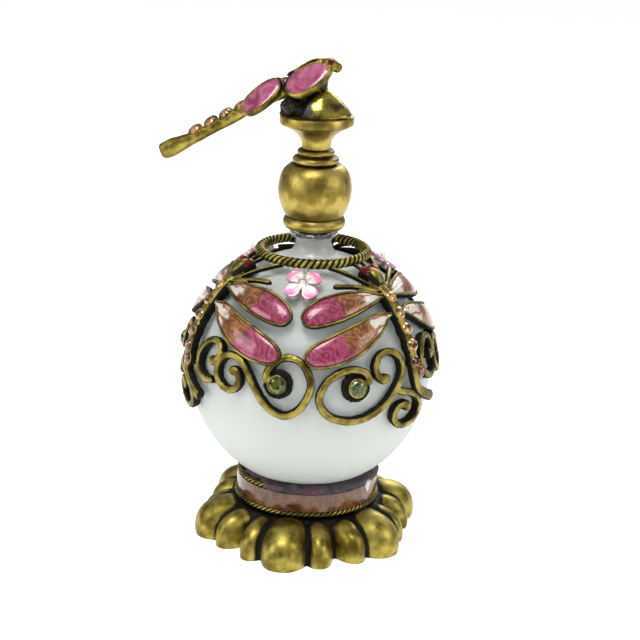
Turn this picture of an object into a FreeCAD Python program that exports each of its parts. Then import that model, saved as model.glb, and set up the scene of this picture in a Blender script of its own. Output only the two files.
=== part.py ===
import FreeCAD, Part
import math
import os

# Stoppered perfume bottle: a frosted glass globe on a cast foot, wrapped in a cage of cast
# dragonflies, blossoms and scrolls, with a turned stopper that carries one more dragonfly.
# Millimetres. Origin at the centre of the foot's underside, +Z up the bottle's axis.
# A blossom faces -Y, and the stopper's dragonfly lies along X with its head towards +X.

os.makedirs("parts", exist_ok=True)
V = FreeCAD.Vector
UP = V(0, 0, 1)

# ---- driving dimensions: globe and neck
GLOBE_R = 29.0
GLOBE_Z = 41.2
GLASS_WALL = 1.8
NECK_R = 4.3
NECK_BORE_R = 2.95
NECK_TOP_Z = 74.4
NECK_FILLET = 4.0
BORE_FILLET = 5.0

# ---- foot
FOOT_SIDES = 6
FOOT_TURN = -3.5
FOOT_LENGTHENING = 0.05
FOOT_BODY_R = 20.5
FOOT_BODY_TOP_Z = 7.0
FOOT_SEAT_R = 18.0
FOOT_SEAT_Z = 8.4
CORNER_LOBE = {"reach": 29.2, "half": (8.9, 6.2, 8.9), "sink": 0.4}
SIDE_LOBE = {"reach": 26.8, "half": (7.6, 4.0, 7.9), "sink": 0.3}
SIDE_LOBE_TURNS = (-10.5, 10.5)

# ---- enamelled band between foot and globe
BAND_IN_R = 15.3
BAND_OUT_R = 16.5
BAND_TOP_Z = 15.0
ENAMEL_BAND_OUT_R = 17.1
ENAMEL_BAND_LOW_Z = 10.0
ENAMEL_BAND_TOP_Z = 14.4
LOWER_ROPE_R = 17.1
LOWER_ROPE_Z = 9.35
UPPER_ROPE_R = 16.55
UPPER_ROPE_Z = 15.05
BAND_ROPE_TUBE = 0.62
CEMENT_LIP_R = 15.8
CEMENT_TOP_Z = 16.3

# ---- cage round the upper half of the globe
CAGE_COUNT = 3
CAGE_STEP = 360.0 / CAGE_COUNT
CAGE_GAP = 0.1
CAGE_IN_R = GLOBE_R + CAGE_GAP
SCROLL_TOP_R = 31.6
WING_TOP_R = 31.9
ENAMEL_FLOOR_R = 31.0
ENAMEL_TOP_R = 31.75
BODY_R = 31.2
COLLAR_R = 12.7
COLLAR_Z = 70.65
COLLAR_TUBE = 1.1
DRAGONFLY_LON = 60.0
RIBBON_WIDTH = 2.0

# Wing outlines in millimetres along the globe: x from root to tip, y towards the leading edge.
UPPER_WING = {
    "root": (-1.0, 46.0), "tip": (-56.0, 40.0),
    "outline": ((1.0, 0.2), (5.0, 1.9), (11.0, 2.8), (16.9, 2.9), (21.3, 1.4), (23.0, -1.2),
                (20.3, -3.8), (13.8, -4.4), (7.0, -3.0), (2.5, -1.3)),
}
LOWER_WING = {
    "root": (-2.0, 38.0), "tip": (-53.5, 23.5),
    "outline": ((1.0, 0.2), (5.0, 1.5), (11.0, 1.4), (17.6, 1.4), (23.6, 1.2), (26.5, -1.2),
                (24.6, -4.2), (19.0, -5.9), (12.4, -5.7), (6.0, -3.5), (2.5, -1.3)),
}
WING_RIM = 0.75

# Scroll centrelines as longitude and latitude on the globe, in degrees from a blossom's axis.
LEFT_SCROLL = ((-11.3, 10.3), (-10.7, 15.6), (-6.8, 20.4), (-2.1, 22.2), (3.7, 20.6), (7.4, 15.6),
               (8.6, 10.4), (6.7, 4.3), (3.1, -0.6), (-2.1, -3.3), (-7.6, -1.7), (-12.4, 2.4),
               (-16.0, 7.3), (-20.2, 13.4), (-24.8, 17.9), (-30.2, 19.2), (-35.0, 17.2),
               (-37.0, 12.1), (-35.3, 7.0), (-30.3, 4.3), (-25.5, 5.6), (-23.9, 9.7),
               (-26.4, 13.0), (-29.8, 12.2))
LEFT_CURL = ((-38.1, 6.3), (-44.2, 5.4), (-50.1, 8.4), (-51.6, 14.6), (-48.4, 20.3), (-43.4, 23.0),
             (-38.4, 21.6), (-37.0, 17.6), (-39.6, 14.4), (-43.4, 14.6))
RIGHT_SCROLL = ((34.7, 9.6), (34.2, 14.2), (30.1, 16.7), (25.1, 16.9), (19.4, 15.0), (14.8, 11.2),
                (12.4, 5.9), (13.3, 1.1), (17.4, -3.2), (24.4, -5.6), (31.6, -5.2), (37.4, -3.1),
                (42.7, 0.0), (47.0, 4.1), (51.4, 9.4), (53.7, 14.3), (52.8, 19.1), (48.2, 22.4),
                (42.6, 22.0), (39.1, 18.4), (39.0, 13.8), (42.2, 11.0), (45.2, 12.8))
RIGHT_CURL = ((48.4, 5.4), (53.6, 3.6), (59.6, 1.4), (64.6, -3.0), (64.6, -8.6), (59.6, -12.2),
              (52.6, -11.8), (48.2, -7.6), (49.6, -3.0), (54.6, -2.2), (57.0, -5.4))
LEFT_STONE = (-5.9, 10.4)
RIGHT_STONE = (28.9, 9.2)
STONE_COLLAR_R = 3.2

# ---- crystals: girdle radius
GREEN_CRYSTAL_R = 1.95
AMBER_CRYSTAL_R = 1.5
DARK_CRYSTAL_R = 1.15
EYE_CRYSTAL_R = 1.05
AMBER_LATITUDES = (44.0, 36.8, 29.4, 22.4)
DARK_LATITUDES = (16.0, 10.8)
EYE_TURN = 5.8
EYE_LAT = 58.6

# ---- blossoms: petal angles from east, anticlockwise; the last petal is bare metal
BLOSSOM = (1.0, 55.6)
BLOSSOM_TOP_R = 32.0
PETAL_ANGLES = (40.0, -52.0, -140.0, 134.0)
BARE_PETAL_ANGLE = 86.0
PETAL_OFFSET = 2.75
PETAL_R = 1.95

# ---- stopper: turned finial as (radius, height) stations
FINIAL_LOW_Z = 76.4
FINIAL_TOP_Z = 103.4
FINIAL_RIM_R = 7.45
BULB_LOW_R = 7.0
BULB_R = 8.74
BULB_TOP_R = 6.1
DISC_R = 8.75
PLUG_R = 2.88
PLUG_LOW_Z = 64.5
FLANGE_R = 5.75
FLANGE_TOP_Z = 76.0
SPIGOT_R = 3.2
SPIGOT_TOP_Z = 83.0
SOCKET_R = 3.7
DAUBER_R = 1.4
DAUBER_LOW_Z = 34.0
DAUBER_TOP_Z = 74.0

# ---- stopper dragonfly, in the plane y = 0
LEAF_TOP_Z = 109.3
TOP_BODY_LINE = ((-35.6, 92.7, 2.1), (-33.4, 93.9, 2.0), (-30.8, 95.4, 1.65), (-28.2, 96.9, 1.4),
                 (-24.6, 98.9, 1.35), (-20.7, 101.2, 1.5), (-17.2, 103.4, 1.5), (-12.2, 106.4, 1.6), (-7.7, 109.3, 2.0), (-2.2, 111.9, 2.3),
                 (1.4, 114.2, 2.1))
TOP_STONES = ((-28.9, 98.5), (-25.2, 100.7), (-21.6, 102.8), (-18.0, 104.8), (-7.9, 111.2))
TOP_STONE_R = 1.45
TOP_CUP_R = 1.75
TOP_WING_PIVOT = V(-7.3, 0, 112.6)
TOP_WING_PITCH = 24.0
TOP_WING_DROOP = 38.0
TOP_FRONT_WING = {"centre": (4.7, 3.05), "turn": 156.0, "half": (6.1, 4.4)}
TOP_REAR_WING = {"centre": (-7.1, 3.4), "turn": 150.0, "half": (6.0, 3.3)}
TOP_WING_THICK = 2.2
TOP_ENAMEL_DEEP = 0.8
TOP_WING_RIM = 0.7


def save(shape, node):
    """Write one sub-part."""
    shape.exportStep("parts/" + node + ".step")


def arc(a, b, c):
    """Edge of a circular arc through three points."""
    return Part.Arc(a, b, c).toShape()


def line(a, b):
    return Part.makeLine(a, b)


def turned(edges):
    """Solid of revolution about the bottle's axis from a closed profile in the XZ plane."""
    face = Part.Face(Part.Wire(edges))
    return face.revolve(V(0, 0, 0), UP, 360)


def turned_polygon(stations):
    """Solid of revolution from (radius, height) stations joined by straight lines."""
    points = [V(r, 0, z) for r, z in stations]
    points.append(points[0])
    return turned([line(a, b) for a, b in zip(points, points[1:])])


def fused(shapes):
    first = shapes[0]
    return first.multiFuse(shapes[1:]).removeSplitter()


def whole(shape):
    """The largest solid, without crumbs left by a cut."""
    return max(shape.Solids, key=lambda solid: solid.Volume)


def spun(shape, k):
    """Copy turned about the bottle's axis to the k-th cage bay."""
    copy = shape.copy()
    copy.rotate(V(0, 0, 0), UP, CAGE_STEP * k)
    return copy


# ---------------------------------------------------------------- places on the globe

CENTRE = V(0, 0, GLOBE_Z)


def outward(lon, lat):
    """Unit vector out of the globe. Longitude 0 faces -Y and grows towards +X."""
    a = math.radians(lon)
    b = math.radians(lat)
    return V(math.sin(a) * math.cos(b), -math.cos(a) * math.cos(b), math.sin(b))


def east(lon):
    a = math.radians(lon)
    return V(math.cos(a), math.sin(a), 0)


def patch(direction, x_axis):
    """Placement at the globe's centre: local z points out through the patch, local x runs along it."""
    z = V(direction).normalize()
    x = V(x_axis - z * x_axis.dot(z)).normalize()
    return FreeCAD.Placement(CENTRE, FreeCAD.Rotation(x, z.cross(x), z, "ZXY"))


def flat_point(place, direction, radius):
    """Where a direction's point at this radius falls on the patch's flat plane."""
    local = place.Rotation.inverted().multVec(direction * radius)
    return V(local.x, local.y, 0)


def shell(inner, outer):
    """Hollow ball about the local origin."""
    return Part.makeSphere(outer).cut(Part.makeSphere(inner))


def closed_curve(points):
    """Face inside a smooth closed curve through the points."""
    curve = Part.BSplineCurve()
    curve.interpolate(points, PeriodicFlag=True)
    return Part.Face(Part.Wire(curve.toShape()))


def domed(face, place, inner, outer):
    """Plate that follows the globe: the flat outline pushed out through a shell."""
    prism = face.extrude(V(0, 0, 2 * GLOBE_R))
    plate = prism.common(shell(inner, outer))
    plate.Placement = place
    return plate


def inset(points, amount):
    """The same outline drawn smaller by this amount, each point moved along its inward normal."""
    result = []
    count = len(points)
    for i, point in enumerate(points):
        along = V(points[(i + 1) % count] - points[i - 1]).normalize()
        result.append(point + V(along.y, -along.x, 0) * amount)
    return result


# ---------------------------------------------------------------- glass, foot and band


def glass_bottle():
    """Blown globe with a short neck, open at the top."""
    inner_r = GLOBE_R - GLASS_WALL
    fillet_x = NECK_R + NECK_FILLET
    fillet_z = GLOBE_Z + math.sqrt((GLOBE_R + NECK_FILLET) ** 2 - fillet_x ** 2)
    joint = V(fillet_x, 0, fillet_z - GLOBE_Z) * (GLOBE_R / (GLOBE_R + NECK_FILLET)) + CENTRE
    bore_x = NECK_BORE_R + BORE_FILLET
    bore_z = GLOBE_Z + math.sqrt((inner_r + BORE_FILLET) ** 2 - bore_x ** 2)
    bore_joint = V(bore_x, 0, bore_z - GLOBE_Z) * (inner_r / (inner_r + BORE_FILLET)) + CENTRE

    def on_fillet(x, z, radius, toward):
        """Point of a fillet midway between the neck wall and the joint with the ball."""
        a = V(-1, 0, 0)
        b = V(toward - V(x, 0, z)).normalize()
        return V(x, 0, z) + V(a + b).normalize() * radius

    bottom = V(0, 0, GLOBE_Z - GLOBE_R)
    inner_bottom = V(0, 0, GLOBE_Z - inner_r)
    edges = [
        arc(bottom, V(GLOBE_R, 0, GLOBE_Z), joint),
        arc(joint, on_fillet(fillet_x, fillet_z, NECK_FILLET, joint), V(NECK_R, 0, fillet_z)),
        line(V(NECK_R, 0, fillet_z), V(NECK_R, 0, NECK_TOP_Z)),
        line(V(NECK_R, 0, NECK_TOP_Z), V(NECK_BORE_R, 0, NECK_TOP_Z)),
        line(V(NECK_BORE_R, 0, NECK_TOP_Z), V(NECK_BORE_R, 0, bore_z)),
        arc(V(NECK_BORE_R, 0, bore_z), on_fillet(bore_x, bore_z, BORE_FILLET, bore_joint), bore_joint),
        arc(bore_joint, V(inner_r, 0, GLOBE_Z), inner_bottom),
        line(inner_bottom, bottom),
    ]
    return turned(edges)


def lobe(size, angle):
    """One swollen lobe of the foot: half an egg lying outwards along its angle."""
    long_half, wide_half, high_half = size["half"]
    egg = Part.makeSphere(1.0)
    stretch = FreeCAD.Matrix()
    stretch.scale(V(long_half, wide_half, high_half))
    egg = egg.transformGeometry(stretch)
    reach = size["reach"] * (1 + FOOT_LENGTHENING * math.cos(math.radians(2 * angle)))
    egg.translate(V(reach - long_half, 0, size["sink"]))
    egg.rotate(V(0, 0, 0), UP, angle - 90.0)
    return egg


def foot_casting():
    """Six-cornered cast foot of swollen lobes round a solid middle with a raised seat."""
    pieces = [turned_polygon([(0, 0), (FOOT_BODY_R, 0), (FOOT_BODY_R, 3.0),
                              (FOOT_SEAT_R, FOOT_BODY_TOP_Z), (FOOT_SEAT_R, FOOT_SEAT_Z),
                              (0, FOOT_SEAT_Z)])]
    for k in range(FOOT_SIDES):
        corner = FOOT_TURN + k * 360.0 / FOOT_SIDES
        pieces.append(lobe(CORNER_LOBE, corner))
        for turn in SIDE_LOBE_TURNS:
            pieces.append(lobe(SIDE_LOBE, corner + 180.0 / FOOT_SIDES + turn))
    foot = fused(pieces)
    above_ground = Part.makeBox(80, 80, 20, V(-40, -40, 0))
    outside_seat = Part.makeCylinder(FOOT_SEAT_R, 20, V(0, 0, FOOT_SEAT_Z))
    return foot.common(above_ground).cut(outside_seat)


def foot_band():
    """Plain ring that carries the enamel and the two ropes."""
    return turned_polygon([(BAND_IN_R, FOOT_SEAT_Z), (BAND_OUT_R, FOOT_SEAT_Z),
                           (BAND_OUT_R, BAND_TOP_Z), (BAND_IN_R, BAND_TOP_Z)])


def foot_band_enamel():
    return turned_polygon([(BAND_OUT_R, ENAMEL_BAND_LOW_Z), (ENAMEL_BAND_OUT_R, ENAMEL_BAND_LOW_Z),
                           (ENAMEL_BAND_OUT_R, ENAMEL_BAND_TOP_Z), (BAND_OUT_R, ENAMEL_BAND_TOP_Z)])


def rope_ring(radius, height, tube):
    return Part.makeTorus(radius, tube, V(0, 0, height), UP)


def globe_cement():
    """Bed of adhesive that fills the band and squeezes out in a lip round the glass."""
    bed = turned_polygon([(0, FOOT_SEAT_Z), (BAND_IN_R, FOOT_SEAT_Z), (BAND_IN_R, BAND_TOP_Z),
                          (CEMENT_LIP_R, BAND_TOP_Z), (CEMENT_LIP_R, CEMENT_TOP_Z),
                          (0, CEMENT_TOP_Z)])
    return bed.cut(Part.makeSphere(GLOBE_R, CENTRE))


# ---------------------------------------------------------------- crystals


def crystal(girdle):
    """Pointed-back cut stone with its girdle at local z = 0 and its table on top."""
    profile = [(0, -0.9 * girdle), (girdle, 0), (girdle, 0.12 * girdle),
               (0.58 * girdle, 0.55 * girdle), (0, 0.55 * girdle)]
    points = [V(r, 0, z) for r, z in profile]
    points.append(points[0])
    face = Part.Face(Part.Wire([line(a, b) for a, b in zip(points, points[1:])]))
    return face.revolve(V(0, 0, 0), UP, 360)


def globe_crystal(girdle, lon, lat, radius):
    """Crystal set on the cage with its girdle at this distance from the globe's centre."""
    stone = crystal(girdle)
    place = patch(outward(lon, lat), east(lon))
    place.Base = CENTRE + outward(lon, lat) * radius
    stone.Placement = place
    return stone


# ---------------------------------------------------------------- cage


def great_rod(start, end, tube, radius):
    """Round bar that follows the globe from one (longitude, latitude) to another, ends rounded."""
    a = outward(*start)
    b = outward(*end)
    axis = V(a.cross(b)).normalize()
    sweep = math.degrees(math.acos(a.dot(b)))
    ring = Part.Face(Part.Wire(Part.makeCircle(tube, CENTRE + a * radius, V(axis.cross(a)))))
    bar = ring.revolve(CENTRE, axis, sweep)
    ends = [Part.makeSphere(tube, CENTRE + d * radius) for d in (a, b)]
    return bar.multiFuse(ends)


def wing_place(wing, side):
    """Patch centred on a wing, its outline points, both for one side of the body."""
    root_lon, root_lat = wing["root"]
    tip_lon, tip_lat = wing["tip"]
    root = outward(DRAGONFLY_LON + side * root_lon, root_lat)
    tip = outward(DRAGONFLY_LON + side * tip_lon, tip_lat)
    length = math.acos(root.dot(tip)) * WING_TOP_R
    middle = V(root + tip).normalize()
    place = patch(middle, tip - root)
    points = []
    for x, y in wing["outline"]:
        along = (x - length / 2) / WING_TOP_R
        across = -side * y / WING_TOP_R
        points.append(V(math.cos(across) * math.sin(along), math.sin(across), 0) * WING_TOP_R)
    if side < 0:
        points.reverse()
    return place, points


def wing(outline, side):
    """(cast plate, enamel pool) of one wing."""
    place, points = wing_place(outline, side)
    plate = domed(closed_curve(points), place, CAGE_IN_R, WING_TOP_R)
    pool = domed(closed_curve(inset(points, WING_RIM)), place, ENAMEL_FLOOR_R, ENAMEL_TOP_R)
    return plate, pool


def dragonfly():
    """(casting, enamel pools, amber stones, dark stones, eye stones) of one cage dragonfly."""
    lon = DRAGONFLY_LON
    pieces = [
        great_rod((lon, 47), (lon, 35), 2.0, BODY_R),
        great_rod((lon, 36), (lon, 5), 1.6, BODY_R),
        great_rod((lon, 5), (lon + 14, -3.5), 1.35, BODY_R - 0.3),
        great_rod((lon, 57), (lon, 65.5), 1.0, BODY_R),
        Part.makeSphere(2.6, CENTRE + outward(lon, 54.5) * (BODY_R + 0.2)),
        great_rod((lon, 50), (lon, 47), 1.5, BODY_R),
    ]
    pools = []
    for side in (1, -1):
        pieces.append(great_rod((lon - 4 * side, 50.0), (lon - 38 * side, 66.2), 0.6, BODY_R))
        pieces.append(great_rod((lon - 3 * side, 48.6), (lon - 37 * side, 54.6), 0.6, BODY_R))
        for outline in (UPPER_WING, LOWER_WING):
            plate, pool = wing(outline, side)
            pieces.append(plate)
            pools.append(pool)
    ambers = [globe_crystal(AMBER_CRYSTAL_R, lon, lat, BODY_R + 1.6) for lat in AMBER_LATITUDES]
    darks = [globe_crystal(DARK_CRYSTAL_R + 0.15, lon, DARK_LATITUDES[0], BODY_R + 1.4),
             globe_crystal(DARK_CRYSTAL_R, lon + 1.5, DARK_LATITUDES[1], BODY_R + 1.4)]
    eyes = [globe_crystal(EYE_CRYSTAL_R, lon + turn, EYE_LAT, BODY_R + 1.9)
            for turn in (-EYE_TURN, EYE_TURN)]
    casting = fused(pieces)
    body = pieces[0].multiFuse(pieces[1:6])
    pools = [whole(pool.cut(body)) for pool in pools]
    casting = casting.cut(rope_ring(COLLAR_R, COLLAR_Z, COLLAR_TUBE))
    casting = casting.cut(Part.makeSphere(CAGE_IN_R, CENTRE))
    casting = casting.cut(Part.makeCompound(pools + ambers + darks + eyes))
    return whole(casting), pools, ambers, darks, eyes


def ribbon(path, width, middle):
    """Flat scroll that follows the globe along a path of (longitude, latitude) stations."""
    place = patch(outward(*middle), east(middle[0]))
    mean_r = (CAGE_IN_R + SCROLL_TOP_R) / 2
    stations = [flat_point(place, outward(*station), mean_r) for station in path]
    curve = Part.BSplineCurve()
    curve.interpolate(stations)
    first, last = curve.FirstParameter, curve.LastParameter
    samples = 2 * len(path)
    left = []
    right = []
    for i in range(samples + 1):
        t = first + (last - first) * i / samples
        point = curve.value(t)
        along = V(curve.tangent(t)[0])
        across = V(-along.y, along.x, 0) * (width / 2)
        left.append(point + across)
        right.append(point - across)
    sides = []
    for points in (left, right):
        side = Part.BSplineCurve()
        side.interpolate(points)
        sides.append(side.toShape())
    head = V(curve.tangent(first)[0]) * (width / 2)
    foot = V(curve.tangent(last)[0]) * (width / 2)
    caps = [arc(right[0], stations[0] - head, left[0]), arc(left[-1], stations[-1] + foot, right[-1])]
    face = Part.Face(Part.Wire(Part.__sortEdges__(sides + caps)))
    return domed(face, place, CAGE_IN_R, SCROLL_TOP_R)


def stone_collar(spot):
    """Round setting for a crystal, as a button that follows the globe."""
    place = patch(outward(*spot), east(spot[0]))
    disc = Part.Face(Part.Wire(Part.makeCircle(STONE_COLLAR_R)))
    return domed(disc, place, CAGE_IN_R, SCROLL_TOP_R)


def scroll(main, curl, spot, stone):
    """Long scroll with its small branch and the setting in its eye."""
    middle = main[len(main) // 2]
    curl_middle = curl[len(curl) // 2]
    pieces = [ribbon(main, RIBBON_WIDTH, (middle[0], 8.0)),
              ribbon(curl, RIBBON_WIDTH, (curl_middle[0], curl_middle[1])), stone_collar(spot)]
    return fused(pieces).cut(stone)


def blossom():
    """(casting, enamel petals) of one blossom below the collar."""
    place = patch(outward(*BLOSSOM), east(BLOSSOM[0]))
    casts = []
    pools = []
    for angle in PETAL_ANGLES + (BARE_PETAL_ANGLE,):
        a = math.radians(angle)
        centre = V(math.cos(a), math.sin(a), 0) * PETAL_OFFSET
        outline = Part.Face(Part.Wire(Part.makeCircle(PETAL_R, centre)))
        casts.append(domed(outline, place, BODY_R - 0.9, BLOSSOM_TOP_R))
        if angle != BARE_PETAL_ANGLE:
            pool = Part.Face(Part.Wire(Part.makeCircle(PETAL_R - 0.35, centre * 1.04)))
            pools.append(domed(pool, place, BLOSSOM_TOP_R - 0.4, BLOSSOM_TOP_R + 0.15))
    heart = Part.Face(Part.Wire(Part.makeCircle(1.5)))
    casts.append(domed(heart, place, BODY_R - 0.9, BLOSSOM_TOP_R + 0.3))
    link = great_rod((BLOSSOM[0], 58), (BLOSSOM[0], 65.5), 0.8, BODY_R - 0.3)
    bead = Part.makeSphere(0.8, CENTRE + outward(*BLOSSOM) * (BLOSSOM_TOP_R + 0.3))
    middle = domed(heart, place, BODY_R - 0.9, BLOSSOM_TOP_R + 0.5)
    pools = [pool.cut(middle) for pool in pools]
    casting = fused(casts + [link, bead]).cut(Part.makeCompound(pools))
    return casting, pools


# ---------------------------------------------------------------- stopper


def finial():
    """Turned brass finial: rim, bulb, two rings, trumpet cup and disc, with a blind socket."""
    def at(r, z):
        return V(r, 0, z)

    edges = [
        line(at(SOCKET_R, FINIAL_LOW_Z), at(6.4, FINIAL_LOW_Z)),
        arc(at(6.4, FINIAL_LOW_Z), at(FINIAL_RIM_R, 77.6), at(6.9, 79.2)),
        line(at(6.9, 79.2), at(BULB_LOW_R, 79.7)),
        arc(at(BULB_LOW_R, 79.7), at(BULB_R, 85.9), at(BULB_TOP_R, 91.6)),
        line(at(BULB_TOP_R, 91.6), at(4.9, 91.9)),
        arc(at(4.9, 91.9), at(5.5, 92.8), at(4.3, 93.7)),
        arc(at(4.3, 93.7), at(4.3, 95.1), at(3.4, 95.8)),
        arc(at(3.4, 95.8), at(4.5, 98.7), at(DISC_R, 101.3)),
        line(at(DISC_R, 101.3), at(DISC_R, FINIAL_TOP_Z)),
        line(at(DISC_R, FINIAL_TOP_Z), at(0, FINIAL_TOP_Z)),
        line(at(0, FINIAL_TOP_Z), at(0, SPIGOT_TOP_Z)),
        line(at(0, SPIGOT_TOP_Z), at(SOCKET_R, SPIGOT_TOP_Z)),
        line(at(SOCKET_R, SPIGOT_TOP_Z), at(SOCKET_R, FINIAL_LOW_Z)),
    ]
    return turned(edges)


def stopper_plug():
    """Clear plug: a shank in the neck, a flange that rests on the glass and a spigot above it."""
    body = turned_polygon([(0, PLUG_LOW_Z), (PLUG_R - 0.4, PLUG_LOW_Z), (PLUG_R, PLUG_LOW_Z + 0.6),
                           (PLUG_R, NECK_TOP_Z), (FLANGE_R - 0.3, NECK_TOP_Z),
                           (FLANGE_R, NECK_TOP_Z + 0.3), (FLANGE_R, FLANGE_TOP_Z - 0.3),
                           (FLANGE_R - 0.3, FLANGE_TOP_Z), (SPIGOT_R, FLANGE_TOP_Z),
                           (SPIGOT_R, SPIGOT_TOP_Z), (0, SPIGOT_TOP_Z)])
    return body.cut(dauber_rod())


def dauber_rod():
    """Glass rod with a rounded end that carries a drop of perfume."""
    rod = Part.makeCylinder(DAUBER_R, DAUBER_TOP_Z - DAUBER_LOW_Z - DAUBER_R,
                            V(0, 0, DAUBER_LOW_Z + DAUBER_R))
    return rod.fuse(Part.makeSphere(DAUBER_R, V(0, 0, DAUBER_LOW_Z + DAUBER_R)))


def finial_cement():
    """Adhesive round the spigot in the finial's socket."""
    return turned_polygon([(SPIGOT_R, FLANGE_TOP_Z), (SOCKET_R, FLANGE_TOP_Z),
                           (SOCKET_R, SPIGOT_TOP_Z), (SPIGOT_R, SPIGOT_TOP_Z)])


def leaf_mount():
    """Cast leaf on a rock that stands on the disc and carries the dragonfly."""
    leaf = closed_curve([V(-2.0, -6.4, FINIAL_TOP_Z), V(3.1, -6.8, FINIAL_TOP_Z),
                         V(7.3, -1.8, FINIAL_TOP_Z), V(5.9, 4.0, FINIAL_TOP_Z),
                         V(1.0, 6.4, FINIAL_TOP_Z), V(-3.6, 3.0, FINIAL_TOP_Z)])
    ridge = closed_curve([V(-0.6, -1.2, LEAF_TOP_Z), V(1.0, -1.6, LEAF_TOP_Z),
                          V(2.4, -0.4, LEAF_TOP_Z), V(1.8, 0.8, LEAF_TOP_Z),
                          V(0.4, 1.2, LEAF_TOP_Z), V(-0.9, 0.5, LEAF_TOP_Z)])
    blade = Part.makeLoft([leaf.OuterWire, ridge.OuterWire], True)
    rock = Part.makeSphere(3.9, V(-5.2, -0.6, 103.4)).common(
        Part.makeBox(20, 20, 6, V(-15, -10, FINIAL_TOP_Z)))
    rock = rock.common(Part.makeCylinder(DISC_R, 10, V(0, 0, FINIAL_TOP_Z)))
    post = Part.makeCone(2.6, 1.5, 7.0, V(-5.8, 0, FINIAL_TOP_Z), V(0, 0, 1))
    brace = Part.makeCone(1.1, 1.8, 4.6, V(1.0, 0.4, 108.6), V(0.62, 0.1, 0.62))
    return fused([blade, rock, post, brace])


def along_pitch(s, t, side):
    """Point on a top wing's plane: s forward along the body, t out from it, side -1 near, +1 far."""
    pitch = math.radians(TOP_WING_PITCH)
    droop = math.radians(TOP_WING_DROOP)
    forward = V(math.cos(pitch), 0, math.sin(pitch))
    out = V(math.sin(pitch) * math.sin(droop), side * math.cos(droop),
            -math.cos(pitch) * math.sin(droop))
    return TOP_WING_PIVOT + forward * s + out * t


def top_wing(wing, side):
    """(cast dish, enamel pool) of one of the stopper dragonfly's wings."""
    s, t = wing["centre"]
    base = along_pitch(s, t, side)
    x_axis = V(along_pitch(s + 1, t, side) - base)
    y_axis = V(along_pitch(s, t + 1, side) - base)
    if side > 0:
        normal = V(x_axis.cross(y_axis))
    else:
        normal = V(y_axis.cross(x_axis))
    turn = math.radians(wing["turn"])
    long_dir = x_axis * math.cos(turn) + y_axis * math.sin(turn)
    long_half, wide_half = wing["half"]
    oval = Part.Ellipse(base, long_half, wide_half)
    oval.Axis = normal
    oval.XAxis = long_dir
    small = Part.Ellipse(base, long_half - TOP_WING_RIM, wide_half - TOP_WING_RIM)
    small.Axis = normal
    small.XAxis = long_dir
    dish = Part.Face(Part.Wire(oval.toShape())).extrude(normal * -TOP_WING_THICK)
    pool = Part.Face(Part.Wire(small.toShape())).extrude(normal * -TOP_ENAMEL_DEEP)
    return dish, pool


def top_dragonfly(mount):
    """(casting, enamel pools, stones, eyes) of the dragonfly soldered to the leaf."""
    pieces = []
    stations = [(V(x, 0, z), r) for x, z, r in TOP_BODY_LINE]
    for (a, ra), (b, rb) in zip(stations, stations[1:]):
        if abs(ra - rb) < 0.01:
            pieces.append(Part.makeCylinder(ra, (b - a).Length, a, b - a))
        else:
            pieces.append(Part.makeCone(ra, rb, (b - a).Length, a, b - a))
        pieces.append(Part.makeSphere(rb, b))
    pieces.append(Part.makeSphere(stations[0][1], stations[0][0]))
    pieces.append(Part.makeSphere(1.75, V(3.1, 0, 115.3)))
    pieces.append(Part.makeCone(1.4, 0.9, 3.0, V(2.2, 0, 114.6), V(1, 0, -0.05)))
    slope = V(-0.5, 0, math.sqrt(0.75))
    stones = []
    for x, z in TOP_STONES:
        stone = crystal(TOP_STONE_R)
        stone.Placement = FreeCAD.Placement(V(x, 0, z), FreeCAD.Rotation(UP, slope))
        stones.append(stone)
        pieces.append(Part.makeCylinder(TOP_CUP_R, 1.6, V(x, 0, z) - slope * 1.5, slope))
    body = fused(pieces)
    pools = []
    dishes = []
    for side in (-1, 1):
        for wing_size in (TOP_FRONT_WING, TOP_REAR_WING):
            dish, pool = top_wing(wing_size, side)
            dishes.append(dish)
            own_half = Part.makeBox(60, 20, 60, V(-40, -20.1 if side < 0 else 0.1, 80))
            pools.append(whole(pool.common(own_half).cut(body).cut(stones)))
    eyes = []
    for side in (-1, 1):
        eye = crystal(0.8)
        direction = V(0.1, side, 0.55)
        base = V(3.0, side * 1.45, 115.9)
        eye.Placement = FreeCAD.Placement(base, FreeCAD.Rotation(UP, direction))
        eyes.append(eye)
    casting = fused([body] + dishes)
    casting = casting.cut(Part.makeCompound(pools + stones + eyes)).cut(mount)
    return whole(casting), pools, stones, eyes


# ---------------------------------------------------------------- build

save(glass_bottle(), "glass_bottle")
save(foot_casting(), "foot_casting")
save(foot_band(), "foot_band")
save(foot_band_enamel(), "foot_band_enamel")
band = foot_band().fuse(foot_band_enamel())
save(rope_ring(LOWER_ROPE_R, LOWER_ROPE_Z, BAND_ROPE_TUBE).cut(band).cut(foot_casting()),
     "foot_band_lower_rope")
save(rope_ring(UPPER_ROPE_R, UPPER_ROPE_Z, BAND_ROPE_TUBE).cut(band).cut(globe_cement()),
     "foot_band_upper_rope")
save(globe_cement(), "globe_cement")
save(rope_ring(COLLAR_R, COLLAR_Z, COLLAR_TUBE), "rope_collar")

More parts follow.
